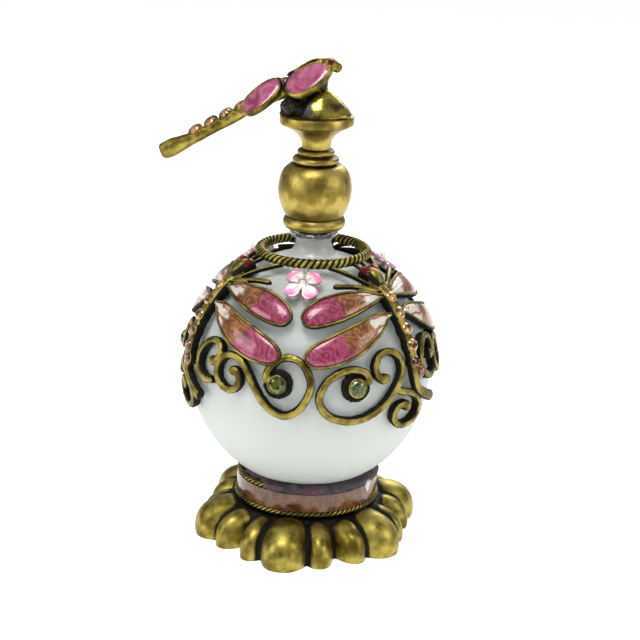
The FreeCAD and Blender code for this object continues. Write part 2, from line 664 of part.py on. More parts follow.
cast_fly, fly_pools, ambers, darks, eyes = dragonfly()
left_stone = globe_crystal(GREEN_CRYSTAL_R, *LEFT_STONE, SCROLL_TOP_R)
right_stone = globe_crystal(GREEN_CRYSTAL_R, *RIGHT_STONE, SCROLL_TOP_R)
both_pools = Part.makeCompound(fly_pools + [spun(pool, -1) for pool in fly_pools])
right_scroll = scroll(RIGHT_SCROLL, RIGHT_CURL, RIGHT_STONE, right_stone)
right_scroll = right_scroll.cut(cast_fly).cut(both_pools)
left_scroll = scroll(LEFT_SCROLL, LEFT_CURL, LEFT_STONE, left_stone)
left_scroll = left_scroll.cut(cast_fly).cut(spun(cast_fly, -1)).cut(right_scroll)
left_scroll = left_scroll.cut(spun(right_scroll, -1)).cut(both_pools)
flower, petals = blossom()
flower = flower.cut(cast_fly).cut(spun(cast_fly, -1)).cut(both_pools)
flower = flower.cut(rope_ring(COLLAR_R, COLLAR_Z, COLLAR_TUBE))

bay = {
    "dragonfly": cast_fly,
    "wing_enamel": Part.makeCompound(fly_pools),
    "amber_crystals": Part.makeCompound(ambers),
    "dark_crystals": Part.makeCompound(darks),
    "eye_crystals": Part.makeCompound(eyes),
    "scroll_right": whole(right_scroll),
    "scroll_left": whole(left_scroll),
    "green_crystals": Part.makeCompound([left_stone, right_stone]),
    "blossom": whole(flower),
    "blossom_enamel": Part.makeCompound([whole(petal) for petal in petals]),
}
for k in range(CAGE_COUNT):
    for name, shape in bay.items():
        save(spun(shape, k), name + "_" + str(k + 1))

save(finial(), "finial")
save(stopper_plug(), "stopper_plug")
save(dauber_rod(), "dauber_rod")
save(finial_cement(), "finial_cement")
perch = leaf_mount()
top_fly, top_pools, top_stones, top_eyes = top_dragonfly(perch)
save(whole(perch.cut(top_stones)), "leaf_mount")
save(top_fly, "top_dragonfly")
save(Part.makeCompound(top_pools), "top_wing_enamel")
save(Part.makeCompound(top_stones), "top_crystals")
save(Part.makeCompound(top_eyes), "top_eye_crystals")
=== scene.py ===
import math
import bmesh
import bpy
from mathutils import Matrix, Vector, noise


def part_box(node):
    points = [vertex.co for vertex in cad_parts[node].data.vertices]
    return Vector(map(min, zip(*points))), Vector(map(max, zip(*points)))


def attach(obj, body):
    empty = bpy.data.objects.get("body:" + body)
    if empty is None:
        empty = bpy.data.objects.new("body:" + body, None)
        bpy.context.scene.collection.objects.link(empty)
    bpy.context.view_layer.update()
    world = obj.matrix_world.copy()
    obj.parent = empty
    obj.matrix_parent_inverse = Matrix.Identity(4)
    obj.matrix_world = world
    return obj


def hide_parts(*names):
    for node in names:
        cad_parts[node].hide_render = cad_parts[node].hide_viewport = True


# A round frosted perfume bottle on a cast foot, caged in cast dragonflies, blossoms and scrolls,
# with a turned stopper that carries one more dragonfly. Meshes are made in millimetres and brought
# into the frame's metres when they are finished.

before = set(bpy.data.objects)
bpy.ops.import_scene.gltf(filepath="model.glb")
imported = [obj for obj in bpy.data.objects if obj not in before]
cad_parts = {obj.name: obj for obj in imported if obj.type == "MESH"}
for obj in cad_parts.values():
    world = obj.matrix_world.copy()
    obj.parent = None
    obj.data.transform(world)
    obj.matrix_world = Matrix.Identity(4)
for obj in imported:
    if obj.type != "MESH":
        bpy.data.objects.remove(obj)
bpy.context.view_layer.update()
scene = bpy.context.scene
noise.seed_set(7)

# ---------------------------------------------------------------- camera, table and light
# A long lens, a little to the right of the front blossom and looking slightly down. The table
# is plain and pale, and its paper glows as painted light that lights the bottle from below and
# pales its shadows. Soft boxes stand above and at both sides of the bottle.

camera = bpy.data.objects.new("camera", bpy.data.cameras.new("camera"))
camera.data.lens = 104.94
camera.data.sensor_width = 36.0
camera.data.clip_start = 0.01
CAMERA_PLACE = (0.05979, -0.42544, 0.18933)
CAMERA_TURN, CAMERA_TILT, CAMERA_ROLL = (math.radians(angle) for angle in (7.718, 72.41, 1.747))
camera.matrix_world = (Matrix.Translation(CAMERA_PLACE) @ Matrix.Rotation(CAMERA_TURN, 4, "Z")
                       @ Matrix.Rotation(CAMERA_TILT, 4, "X") @ Matrix.Rotation(CAMERA_ROLL, 4, "Z"))
scene.collection.objects.link(camera)
scene.camera = camera


def rgb(red, green, blue):
    """Linear colour from the usual 0 to 255 values."""
    return tuple((channel / 255) ** 2.2 for channel in (red, green, blue))


class Wire:
    """A socket of a material's nodes. Arithmetic on it adds Math nodes."""

    def __init__(self, tree, socket=None):
        self.tree = tree
        self.socket = socket

    def set(self, socket, value):
        """Link a Wire to a socket, or give the socket a plain value."""
        if isinstance(value, Wire):
            self.tree.links.new(value.socket, socket)
        elif socket.type == "RGBA":
            socket.default_value = (*value, 1.0)
        else:
            socket.default_value = value

    def node(self, kind, settings=(), sockets=(), output=0):
        """Any node: its settings come first, then the values or links of its sockets."""
        made = self.tree.nodes.new("ShaderNode" + kind)
        for name, value in dict(settings).items():
            if name == "stops":
                stops = made.color_ramp.elements
                stops.remove(stops[1])
                stops[0].position = value[0][0]
                stops[0].color = (*value[0][1], 1.0)
                for place, colour in value[1:]:
                    stops.new(place).color = (*colour, 1.0)
            else:
                setattr(made, name, value)
        for name, value in dict(sockets).items():
            self.set(made.inputs[name], value)
        return Wire(self.tree, made.outputs[output])

    def math(self, operation, *values):
        return self.node("Math", {"operation": operation}, enumerate(values))

    def sine(self):
        return self.math("SINE", self)

    def vector(self, operation, *values, output=0):
        return self.node("VectorMath", {"operation": operation}, enumerate(values), output)

    def axis(self, letter):
        """One axis of this place."""
        return self.node("SeparateXYZ", (), {0: self}, letter)

    def painted(self, layer):
        """A value that the mesh holds at each point."""
        return self.node("Attribute", {"attribute_name": layer}, output="Fac")

    def colours(self, *stops):
        """Colour by this wire as a value, from (value, red, green, blue) stops."""
        stops = [(value, rgb(*colour)) for value, *colour in stops]
        return self.node("ValToRGB", {"stops": stops}, {"Fac": self}, "Color")

    def __add__(self, other):
        return self.math("ADD", self, other)

    def __sub__(self, other):
        return self.math("SUBTRACT", self, other)

    def __rsub__(self, other):
        return self.math("SUBTRACT", other, self)

    def __mul__(self, other):
        return self.math("MULTIPLY", self, other)

    __radd__ = __add__
    __rmul__ = __mul__

    def ramp(self, low, high):
        """0 below low, 1 above high, smooth between."""
        return self.node("MapRange", {"interpolation_type": "SMOOTHSTEP"},
                         {"Value": self, "From Min": low, "From Max": high})

    def mix(self, first, second):
        """Colour between two colours, with this wire as the share of the second."""
        return self.node("Mix", {"data_type": "RGBA"}, {0: self, 6: first, 7: second}, 2)

    def spots(self, scale, detail=3.0, distortion=0.0):
        """Noise with this wire as its place; scale is in waves per metre."""
        return self.node("TexNoise", (), {"Vector": self, "Scale": scale, "Detail": detail,
                                          "Distortion": distortion}, "Fac")

    def bump(self, height_mm, strength=1.0):
        """Normal from this wire as a height, in millimetres at 1."""
        return self.node("Bump", (), {"Height": self, "Distance": height_mm * 0.001,
                                      "Strength": strength}, "Normal")


def finish(name, paint):
    """Material whose shader takes the values and links that paint returns for a Wire and a place."""
    made = bpy.data.materials.new(name)
    made.use_nodes = True
    wire = Wire(made.node_tree)
    shader = made.node_tree.nodes["Principled BSDF"]
    for socket, value in paint(wire, wire.node("TexCoord", output="Object")).items():
        wire.set(shader.inputs[socket], value)
    return made


def paper_with_painted_glow(wire, place):
    # Painted light: the paper glows, lighting the bottle from below and paling the shadows on the table.
    return {"Base Color": place.spots(40.0).mix(rgb(238, 238, 237), rgb(243, 243, 242)),
            "Roughness": 0.7, "Specular IOR Level": 0.2,
            "Emission Color": (1.0, 1.0, 1.0), "Emission Strength": 0.55}


def soft_box(name, place, target, size, power):
    """Square light that faces a target; sizes in metres."""
    lamp = bpy.data.lights.new(name, "AREA")
    lamp.size = size
    lamp.energy = power
    holder = bpy.data.objects.new(name, lamp)
    holder.location = place
    aim = Vector(target) - Vector(place)
    holder.rotation_euler = aim.to_track_quat("-Z", "Y").to_euler()
    scene.collection.objects.link(holder)


TABLE_WIDTH = 6.0
table_mesh = bmesh.new()
bmesh.ops.create_grid(table_mesh, x_segments=4, y_segments=4, size=TABLE_WIDTH / 2)
table = bpy.data.objects.new("table", bpy.data.meshes.new("table"))
table_mesh.to_mesh(table.data)
table_mesh.free()
table.data.materials.append(finish("table_paper_with_painted_glow", paper_with_painted_glow))
scene.collection.objects.link(table)

MIDDLE = (0.0, 0.0, 0.055)
soft_box("top_box", (-0.06, -0.20, 0.55), MIDDLE, 0.22, 1.5)
soft_box("left_box", (-0.50, -0.30, 0.25), MIDDLE, 0.30, 0.9)
soft_box("right_box", (0.55, -0.15, 0.30), MIDDLE, 0.30, 0.9)
soft_box("back_box", (0.10, 0.60, 0.40), MIDDLE, 0.40, 1.6)

scene.world = bpy.data.worlds.new("studio")
scene.world.use_nodes = True
sky = Wire(scene.world.node_tree)
around = sky.node("TexCoord", output="Generated").axis("Z")
tone = around.ramp(-0.1, 0.8).mix(rgb(130, 130, 130), rgb(240, 240, 240))
sky.set(scene.world.node_tree.nodes["Background"].inputs["Color"], tone)
scene.world.node_tree.nodes["Background"].inputs["Strength"].default_value = 0.6
scene.view_settings.view_transform = "Standard"

# ---------------------------------------------------------------- foot
# One antiqued brass casting: six large lobes at the corners, two smaller ones between each pair,
# and a solid middle with a raised seat. Black patina stays in the clefts, the lobes are rubbed bright.

MM = 0.001
CORNERS = 6
FOOT_TURN = math.radians(-3.5)
FOOT_LENGTHENING = 0.05
CORNER_LOBE = {"reach": 29.2, "half": (9.2, 5.9, 7.3), "middle": 2.0}
SIDE_LOBE = {"reach": 26.8, "half": (8.4, 3.75, 6.7), "middle": 1.6}
SIDE_LOBE_TURN = math.radians(10.5)
FOOT_BODY = ((0, 0), (22.5, 0), (22.5, 1.5), (21.0, 4.0), (19.2, 6.2), (18.0, 8.2), (0, 8.2))
CLEFT_R = 18.2
FOOT_VOXEL = 0.36
FOOT_CUT = 0.02


def turned(profile, steps=128):
    """Skin of revolution round the bottle's axis from (radius, height) points."""
    bm = bmesh.new()
    verts = [bm.verts.new((r, 0, z)) for r, z in profile]
    edges = [bm.edges.new(pair) for pair in zip(verts, verts[1:])]
    bmesh.ops.spin(bm, geom=verts + edges, cent=(0, 0, 0), axis=(0, 0, 1), angle=math.tau,
                   steps=steps, use_merge=True)
    bmesh.ops.remove_doubles(bm, verts=bm.verts, dist=0.0005)
    bmesh.ops.recalc_face_normals(bm, faces=bm.faces)
    return bm


def ball(radius, matrix, u=24, v=16):
    """Round mesh about the origin, then moved by a matrix."""
    bm = bmesh.new()
    bmesh.ops.create_uvsphere(bm, u_segments=u, v_segments=v, radius=radius)
    bmesh.ops.transform(bm, matrix=matrix, verts=bm.verts)
    return bm


def close(bm):
    """Fill every open edge loop and turn the normals outward."""
    bmesh.ops.holes_fill(bm, edges=[edge for edge in bm.edges if edge.is_boundary], sides=0)
    bmesh.ops.recalc_face_normals(bm, faces=bm.faces)
    return bm


def cut_level(bm, height):
    """Take away what is below a height and close the cut."""
    bmesh.ops.bisect_plane(bm, geom=bm.verts[:] + bm.edges[:] + bm.faces[:], dist=0.0001,
                           plane_co=(0, 0, height), plane_no=(0, 0, -1), clear_outer=True)
    return close(bm)


def joined(parts):
    """One bmesh that holds copies of several, which are freed."""
    whole = bmesh.new()
    for part in parts:
        mesh = bpy.data.meshes.new("joined")
        part.to_mesh(mesh)
        part.free()
        whole.from_mesh(mesh)
        bpy.data.meshes.remove(mesh)
    return whole


def cast(parts, voxel, rounds=2):
    """The parts melted into one skin with softened creases, as a casting is."""
    mesh = bpy.data.meshes.new("cast")
    whole = joined(parts)
    whole.to_mesh(mesh)
    whole.free()
    holder = bpy.data.objects.new("cast", mesh)
    scene.collection.objects.link(holder)
    melt = holder.modifiers.new("melt", "REMESH")
    melt.mode = "VOXEL"
    melt.voxel_size = voxel
    soften = holder.modifiers.new("soften", "SMOOTH")
    soften.factor = 0.5
    soften.iterations = rounds
    graph = bpy.context.evaluated_depsgraph_get()
    melted = bpy.data.meshes.new_from_object(holder.evaluated_get(graph))
    bm = bmesh.new()
    bm.from_mesh(melted)
    bpy.data.objects.remove(holder)
    bpy.data.meshes.remove(mesh)
    bpy.data.meshes.remove(melted)
    return bm


def piece(bm, name, body, nodes, finish_used, crease=50.0, relief=None):
    """Bring a mesh into the frame as a finished piece that stands for CAD nodes.

    relief gives each point's share of rubbed metal, from its place in millimetres; on the stopper dragonfly
    it also holds painted shadow in the waist.
    """
    if relief:
        layer = bm.verts.layers.float.new("relief")
        for vert in bm.verts:
            vert[layer] = relief(vert.co)
    bmesh.ops.scale(bm, vec=(MM, MM, MM), verts=bm.verts)
    mesh = bpy.data.meshes.new(name)
    bm.to_mesh(mesh)
    bm.free()
    mesh.materials.append(finish_used)
    mesh.shade_smooth()
    mesh.set_sharp_from_angle(angle=math.radians(crease))
    made = bpy.data.objects.new(name, mesh)
    scene.collection.objects.link(made)
    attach(made, body)
    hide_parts(*nodes)
    return made


def step(value, low, high):
    """0 below low, 1 above high, smooth between."""
    share = min(max((value - low) / (high - low), 0.0), 1.0)
    return share * share * (3 - 2 * share)


BLACK_PATINA = rgb(27, 25, 18)
DEEP_BRASS = rgb(108, 95, 40)
BRIGHT_BRASS = rgb(180, 164, 84)


def patina(worn, place, bright=BRIGHT_BRASS, deep=DEEP_BRASS, black=BLACK_PATINA, polish=0.35):
    """Antiqued brass: worn is 1 on rubbed metal and 0 where the black patina stays; in the stopper
    dragonfly's waist, 0 is painted shadow.
    """
    cloud = place.spots(260.0)
    grain = place.spots(2600.0, 2.0)
    pits = place.spots(900.0, 4.0).ramp(0.70, 0.76)
    rubbed = (worn + (cloud - 0.5) * 0.35 + (grain - 0.5) * 0.25).ramp(0.30, 0.72)
    colour = rubbed.mix(black, cloud.ramp(0.35, 0.65).mix(deep, bright))
    return {"Base Color": (pits * 0.8).mix(colour, rgb(60, 48, 26)),
            "Metallic": rubbed * 0.35 + 0.65,
            "Roughness": (1 - rubbed) * 0.22 + cloud * 0.10 + polish,
            "Normal": (grain * 0.35 + cloud).bump(0.10, 0.5)}


def painted_relief(wire, place):
    return patina(wire.painted("relief"), place)


antique_brass = finish("antique_brass", painted_relief)

lobes = []
for corner in range(CORNERS):
    angle = FOOT_TURN + corner * math.tau / CORNERS
    lobes.append((CORNER_LOBE, angle))
    for side in (-1, 1):
        lobes.append((SIDE_LOBE, angle + math.pi / CORNERS + side * SIDE_LOBE_TURN))


def lobe_frame(lobe, angle):
    """Matrix from a unit ball to a lobe that lies outwards at this angle from -Y."""
    long_half, wide_half, high_half = lobe["half"]
    reach = lobe["reach"] * (1 + FOOT_LENGTHENING * math.cos(2 * angle))
    return (Matrix.Rotation(angle - math.pi / 2, 4, "Z")
            @ Matrix.Translation((reach - long_half, 0, lobe["middle"]))
            @ Matrix.Diagonal((long_half, wide_half, high_half, 1)))


def swollen(co):
    """Squarer ball: a lobe's back and sides stay full before they turn down."""
    return Vector(math.copysign(abs(c) ** 0.88, c) for c in co)


foot_parts = [turned(FOOT_BODY)]
for lobe, angle in lobes:
    swelling = ball(1.0, Matrix(), 48, 32)
    for vert in swelling.verts:
        vert.co = lobe_frame(lobe, angle) @ swollen(vert.co)
    foot_parts.append(swelling)
foot = cut_level(cast(foot_parts, FOOT_VOXEL, rounds=3), FOOT_CUT)
bmesh.ops.translate(foot, vec=(0, 0, -FOOT_CUT), verts=foot.verts)
unit_frames = [lobe_frame(lobe, angle).inverted() for lobe, angle in lobes]


def foot_relief(co):
    """Bright on the backs of the lobes, black in the clefts and round the seat."""
    depths = sorted((unit @ co).length for unit in unit_frames)
    cleft = step(depths[1] - depths[0], 0.01, 0.46)
    return cleft * step(Vector(co[:2]).length, CLEFT_R - 0.6, CLEFT_R + 2.6) * step(co.z, -1.0, 0.8)


piece(foot, "lobed_foot", "bottle", ["foot_casting"], antique_brass,
      relief=foot_relief)

# ---------------------------------------------------------------- band
# A brass ring with a copper-brown pearly enamel poured between two twisted wires. The globe is
# bedded in dark adhesive that squeezes out over the upper wire, except at the left.

BAND_R = 16.5
ENAMEL = {"low": 10.0, "top": 14.45, "r": 17.15}
LOWER_WIRE = {"r": 17.15, "z": 9.4, "tube": 0.60}
UPPER_WIRE = {"r": 16.6, "z": 15.1, "tube": 0.62}


def twisted_ring(ring, turns, strands=3):
    """Ring of twisted wire, and a function that is 1 on a strand's back and 0 in a groove."""
    circle = [(ring["r"] + ring["tube"] * math.cos(math.tau * i / 18),
               ring["z"] + ring["tube"] * math.sin(math.tau * i / 18)) for i in range(19)]
    bm = turned(circle, steps=turns * strands * 9)

    def back(co):
        across = Vector((co.x, co.y)).length - ring["r"]
        roll = math.atan2(co.z - ring["z"], across) - turns * math.atan2(co.y, co.x)
        return abs(math.sin(strands * roll / 2))

    for vert in bm.verts:
        middle = Vector((vert.co.x, vert.co.y, 0)).normalized() * ring["r"]
        middle.z = ring["z"]
        vert.co = middle + (vert.co - middle) * (0.70 + 0.34 * back(vert.co) ** 0.7)
    return bm, lambda co: step(back(co), 0.45, 0.95)


def enamel_gloss(colour, flake, roughness=0.16):
    """Fired enamel: pearl flakes under a clear gloss."""
    return {"Base Color": colour, "Metallic": 0.10, "Roughness": roughness, "Coat Weight": 0.7,
            "Coat Roughness": 0.04, "Normal": flake.bump(0.05, 0.35)}


def copper_enamel(wire, place):
    swirl = place.spots(120.0, 5.0, 2.5)
    colour = swirl.colours((0.30, 50, 22, 8), (0.42, 88, 46, 18), (0.50, 118, 76, 38),
                           (0.58, 96, 50, 24), (0.70, 62, 30, 12))
    pearl = place.spots(60.0, 2.0).ramp(0.45, 0.68)
    return enamel_gloss((pearl * 0.3).mix(colour, rgb(140, 96, 58)), swirl, 0.24)


def adhesive(wire, place):
    lump = place.spots(700.0, 6.0)
    pink = place.spots(210.0, 2.0).ramp(0.52, 0.66)
    from_drip = wire.vector("DISTANCE", place, DRIP_PLACE * MM, output="Value")
    dark = (pink * 0.35).mix(lump.mix(rgb(18, 17, 20), rgb(80, 74, 80)), rgb(110, 60, 76))
    away = (from_drip + (lump - 0.5) * 0.001).ramp(0.0011, 0.0021)
    return {"Base Color": away.mix(rgb(228, 222, 216), dark),
            "Roughness": lump * 0.4 + 0.28, "Normal": lump.bump(0.30, 0.8)}


band = turned([(15.3, 8.4), (BAND_R, 8.4), (BAND_R, 15.0), (15.3, 15.0), (15.3, 8.4)])
piece(band, "band_ring", "bottle", ["foot_band"], antique_brass,
      relief=lambda co: 0.2)
pool = [(BAND_R, ENAMEL["low"])]
for i in range(9):
    rise = i / 8
    swell = 0.16 * math.sin(math.pi * rise)
    pool.append((ENAMEL["r"] + swell, ENAMEL["low"] + rise * (ENAMEL["top"] - ENAMEL["low"])))
pool += [(BAND_R, ENAMEL["top"]), pool[0]]
piece(turned(pool, 160), "band_enamel_ring", "bottle", ["foot_band_enamel"],
      finish("copper_enamel", copper_enamel))
wire_mesh, wire_back = twisted_ring(LOWER_WIRE, turns=27)
piece(wire_mesh, "lower_twisted_wire", "bottle", ["foot_band_lower_rope"],
      antique_brass, relief=wire_back)
wire_mesh, wire_back = twisted_ring(UPPER_WIRE, turns=25)
piece(wire_mesh, "upper_twisted_wire", "bottle", ["foot_band_upper_rope"],
      antique_brass, relief=wire_back)

GLOBE_LOW, GLOBE_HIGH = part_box("glass_bottle")
GLOBE_R = (GLOBE_HIGH.x - GLOBE_LOW.x) / 2 / MM
CENTRE = Vector((0, 0, GLOBE_LOW.z / MM + GLOBE_R))
LEFT_OF_VIEW = math.radians(211)
DRIP_SIDE = math.radians(-23)
DRIP_PLACE = Vector((17.5 * math.cos(DRIP_SIDE), 17.5 * math.sin(DRIP_SIDE), 13.8))


def globe_ring(height):
    """Radius of the globe at this height."""
    return math.sqrt(GLOBE_R ** 2 - (height - CENTRE.z) ** 2)


bed_profile = [(0, 8.4), (15.3, 8.4), (15.3, 15.0), (16.5, 15.0), (16.9, 14.7), (17.4, 14.7),
               (17.6, 15.2), (17.3, 16.0), (16.3, 16.6), (globe_ring(16.7) - 0.2, 16.7)]
for i in range(13):
    angle = (1 - i / 12) * math.asin(globe_ring(16.7) / GLOBE_R)
    bed_profile.append(((GLOBE_R + 0.02) * math.sin(angle), CENTRE.z - (GLOBE_R + 0.02) * math.cos(angle)))
bed = turned(bed_profile, 220)
for vert in bed.verts:
    ring = Vector((vert.co.x, vert.co.y, 0))
    if ring.length > 15.4 and vert.co.z > 14.6:
        lumps = (noise.noise(vert.co * 0.9) * 0.5 + noise.noise(vert.co * 2.3) * 0.35
                 + noise.noise(vert.co * 5.0) * 0.2)
        apart = abs((math.atan2(vert.co.y, vert.co.x) - LEFT_OF_VIEW + math.pi) % math.tau - math.pi)
        drawn_in = 1.6 * (1 - step(apart, 0.38, 0.60))
        from_drip = abs(math.atan2(vert.co.y, vert.co.x) - DRIP_SIDE) * ring.length
        sag = 2.4 * math.exp(-(from_drip / 0.9) ** 2) * step(15.6 - vert.co.z, 0.0, 0.8)
        vert.co += ring.normalized() * (lumps * (1 - step(sag, 0, 0.5)) - drawn_in)
        vert.co.z += lumps * 0.5 * (1 - step(sag, 0, 0.5)) + drawn_in * 0.3 - sag
piece(bed, "adhesive_bed", "bottle", ["globe_cement"], finish("adhesive", adhesive))

# ---------------------------------------------------------------- glass bottle
# A blown globe, sandblasted all over but for the neck, which is left clear. The wall is even, and
# the shoulder sweeps up into the neck.

WALL = 1.8
NECK_R = 4.3
BORE_R = 2.95
NECK_TOP = GLOBE_HIGH.z / MM
CLEAR_FROM = 69.0
CLEAR_ABOVE = 71.2
SHOULDER = 4.0
BORE_SHOULDER = 5.0
LIP = 0.35


def arc(centre_r, centre_z, radius, start, end, count):
    """Points of an arc in the profile's plane; degrees, anticlockwise from outwards."""
    angles = [math.radians(start + (end - start) * i / count) for i in range(count + 1)]
    return [(centre_r + radius * math.cos(a), centre_z + radius * math.sin(a)) for a in angles]


def sweep_to_neck(ball, neck, fillet):
    """Profile from the ball's lowest point over its side and up the fillet to the neck."""
    shoulder_z = CENTRE.z + math.sqrt((ball + fillet) ** 2 - (neck + fillet) ** 2)
    lean = math.degrees(math.atan2(shoulder_z - CENTRE.z, neck + fillet))
    return arc(0, CENTRE.z, ball, -90, lean, 96) + arc(neck + fillet, shoulder_z, fillet, 180 + lean, 180, 12)


glass_profile = sweep_to_neck(GLOBE_R, NECK_R, SHOULDER)
glass_profile += arc(NECK_R - LIP, NECK_TOP - LIP, LIP, 0, 90, 4)
glass_profile += arc(BORE_R + LIP, NECK_TOP - LIP, LIP, 90, 180, 4)
glass_profile += reversed(sweep_to_neck(GLOBE_R - WALL, BORE_R, BORE_SHOULDER))


def frosted(wire, place):
    clear = place.axis("Z").ramp(CLEAR_FROM * MM, CLEAR_ABOVE * MM)
    grain = place.spots(5200.0, 2.0)
    cloud = place.spots(45.0, 2.0)
    return {"Base Color": cloud.mix(rgb(236, 241, 237), rgb(243, 246, 243)),
            "Roughness": (1 - clear) * 0.56 + grain * 0.05 + 0.03,
            "Transmission Weight": 0.45, "IOR": 1.47,
            "Normal": ((1 - clear) * grain).bump(0.02, 0.3)}


piece(turned(glass_profile, 192), "frosted_bottle", "bottle", ["glass_bottle"],
      finish("frosted_glass", frosted))

# ---------------------------------------------------------------- collar
# A ring of thick twisted wire that lies round the shoulder and holds the cage together.

COLLAR = {"r": 12.7, "z": 70.65, "tube": 1.2}
collar_mesh, collar_back = twisted_ring(COLLAR, turns=19)
piece(collar_mesh, "twisted_collar", "bottle", ["rope_collar"], antique_brass,
      relief=collar_back)

# ---------------------------------------------------------------- cage scrolls
# Flat castings that follow the globe: ribbons with a rubbed round top and black sides. Each pair
# of large scrolls carries a green stone in a round setting. The three bays are alike.

BAYS = 3
CHART_R = GLOBE_R + 2.6


def bearing(lon, lat):
    """Direction out of the globe. Longitude 0 faces -Y and grows towards +X; degrees."""
    a = math.radians(lon)
    b = math.radians(lat)
    return Vector((math.sin(a) * math.cos(b), -math.cos(a) * math.cos(b), math.sin(b)))


class Chart:
    """Flat map of a patch of the globe: x and y in millimetres along it, z the height above it."""

    def __init__(self, middle, along):
        self.out = middle.normalized()
        self.x_axis = (along - self.out * along.dot(self.out)).normalized()
        self.y_axis = self.out.cross(self.x_axis)

    def point(self, lon, lat, height=0.0):
        """Where this place on the globe lies on the map."""
        d = bearing(lon, lat)
        return Vector((CHART_R * math.atan2(d.dot(self.x_axis), d.dot(self.out)),
                       CHART_R * math.asin(d.dot(self.y_axis)), height))

    def wrap(self, bm):
        """Lay a mesh made on the map round the globe."""
        for vert in bm.verts:
            a = vert.co.x / CHART_R
            b = vert.co.y / CHART_R
            level = self.out * math.cos(a) + self.x_axis * math.sin(a)
            up = level * math.cos(b) + self.y_axis * math.sin(b)
            vert.co = CENTRE + up * (GLOBE_R + vert.co.z)
        bmesh.ops.recalc_face_normals(bm, faces=bm.faces)
        return bm


def north_chart(lon, lat):
    return Chart(bearing(lon, lat), Vector((math.cos(math.radians(lon)), math.sin(math.radians(lon)), 0)))


def smooth_line(points, share):
    """Point at a share from 0 to 1 of a smooth line through the points."""
    spans = len(points) - 1
    k = min(int(share * spans), spans - 1)
    u = share * spans - k
    a, b = points[k], points[k + 1]
    before = points[k - 1] if k else a * 2 - b
    after = points[k + 2] if k + 2 <= spans else b * 2 - a
    return (a * 2 + (b - before) * u + (before * 2 - a * 5 + b * 4 - after) * u ** 2
            + (a * 3 - before - b * 3 + after) * u ** 3) / 2


def skin(count, rings):
    """Closed skin through rings of points; each ring gives the place of its i-th point."""
    bm = bmesh.new()
    number = bm.verts.layers.int.new("number")
    verts = bmesh.ops.create_circle(bm, segments=count, radius=1.0)["verts"]
    for vert in verts:
        vert[number] = round(math.atan2(vert.co.y, vert.co.x) / math.tau * count) % count
    edges = bm.edges[:]
    for k, ring in enumerate(rings):
        if k:
            grown = bmesh.ops.extrude_edge_only(bm, edges=edges)["geom"]
            verts = [item for item in grown if isinstance(item, bmesh.types.BMVert)]
            fresh = set(verts)
            edges = [item for item in grown if isinstance(item, bmesh.types.BMEdge)
                     and fresh.issuperset(item.verts)]
        for vert in verts:
            vert.co = ring(vert[number])
    bmesh.ops.remove_doubles(bm, verts=bm.verts, dist=0.001)
    return close(bm)


def oval(middle, across, up, square=1.0, count=14):
    """Ring with these half axes; a square below 1 fills its corners."""
    def place(i):
        angle = math.tau * i / count
        c = math.cos(angle)
        s = math.sin(angle)
        return (middle + across * math.copysign(abs(c) ** square, c)
                + up * math.copysign(abs(s) ** square, s))
    return place


def ribbon(points, half, low, top, square=0.75, head=1.0, tail=1.0, count=14, fine=6):
    """Bar along a smooth line on the map, between two heights, with rounded ends.

    half is its half width at points spread evenly along it; head and tail swell its ends.
    """
    steps = (len(points) - 1) * fine
    line = [smooth_line(points, i / steps) for i in range(steps + 1)]
    run = [0.0]
    for a, b in zip(line, line[1:]):
        run.append(run[-1] + (b - a).length)
    rings = []
    for i, middle in enumerate(line):
        along = line[min(i + 1, steps)] - line[max(i - 1, 0)]
        across = Vector((-along.y, along.x, 0)).normalized()
        from_end = min(run[i], run[-1] - run[i])
        bulge = head if run[i] < run[-1] / 2 else tail
        here = half * (1 + (bulge - 1) * math.exp(-(from_end / half / 2) ** 2))
        inside = min(from_end / here, 1.0)
        here *= math.sqrt(max(1 - (1 - inside) ** 2, 0.0004))
        lift = (top - low) / 2
        spot = Vector((middle.x, middle.y, (top + low) / 2))
        rings.append(oval(spot, across * here, Vector((0, 0, lift)), square, count))
    return skin(count, rings)


def button(middle, radius, low, top, dish=0.0, count=32):
    """Round boss on the map with a rounded edge and, where a stone sits, a dished top."""
    def ring(r, z):
        return oval(Vector((middle.x, middle.y, z)), Vector((r, 0, 0)), Vector((0, r, 0)), 1.0, count)
    edge = min(radius * 0.25, 0.5)
    return skin(count, [ring(0.02, low), ring(radius * 0.92, low), ring(radius, (low + top) / 2),
                        ring(radius, top - edge), ring(radius - edge * 0.35, top - edge * 0.25),
                        ring(radius - edge, top), ring(radius - edge * 1.6, top - 0.05),
                        ring(radius - edge * 2.2, top - dish), ring(0.02, top - dish)])


def crusty(bm, amount, fineness=1.1):
    """Move the points a little, as on the skin of a casting."""
    for vert in bm.verts:
        vert.co += noise.noise_vector(vert.co * fineness) * amount
    return bm


def in_each_bay(bm, name, node, finish_used, crease=50.0):
    """A copy of a mesh as a piece in each bay of the cage, turned to its place."""
    for bay in range(BAYS):
        copy = bm.copy()
        bmesh.ops.rotate(copy, cent=(0, 0, 0), matrix=Matrix.Rotation(bay * math.tau / BAYS, 3, "Z"),
                         verts=copy.verts)
        tag = "_" + str(bay + 1)
        piece(copy, name + tag, "bottle", [node + tag], finish_used, crease)
    bm.free()


def cage_relief(wire, place):
    """Rubbed where the casting faces out of the globe and stands high."""
    ray = wire.vector("SUBTRACT", place, CENTRE * MM)
    normal = wire.node("TexCoord", output="Normal")
    facing = wire.vector("DOT_PRODUCT", normal, wire.vector("NORMALIZE", ray), output="Value")
    height = wire.vector("LENGTH", ray, output="Value") - GLOBE_R * MM
    worn = facing.ramp(0.45, 0.96) * height.ramp(0.0014, 0.0024)
    return patina(worn, place, rgb(164, 148, 78), rgb(92, 80, 36))


cage_brass = finish("cage_brass", cage_relief)

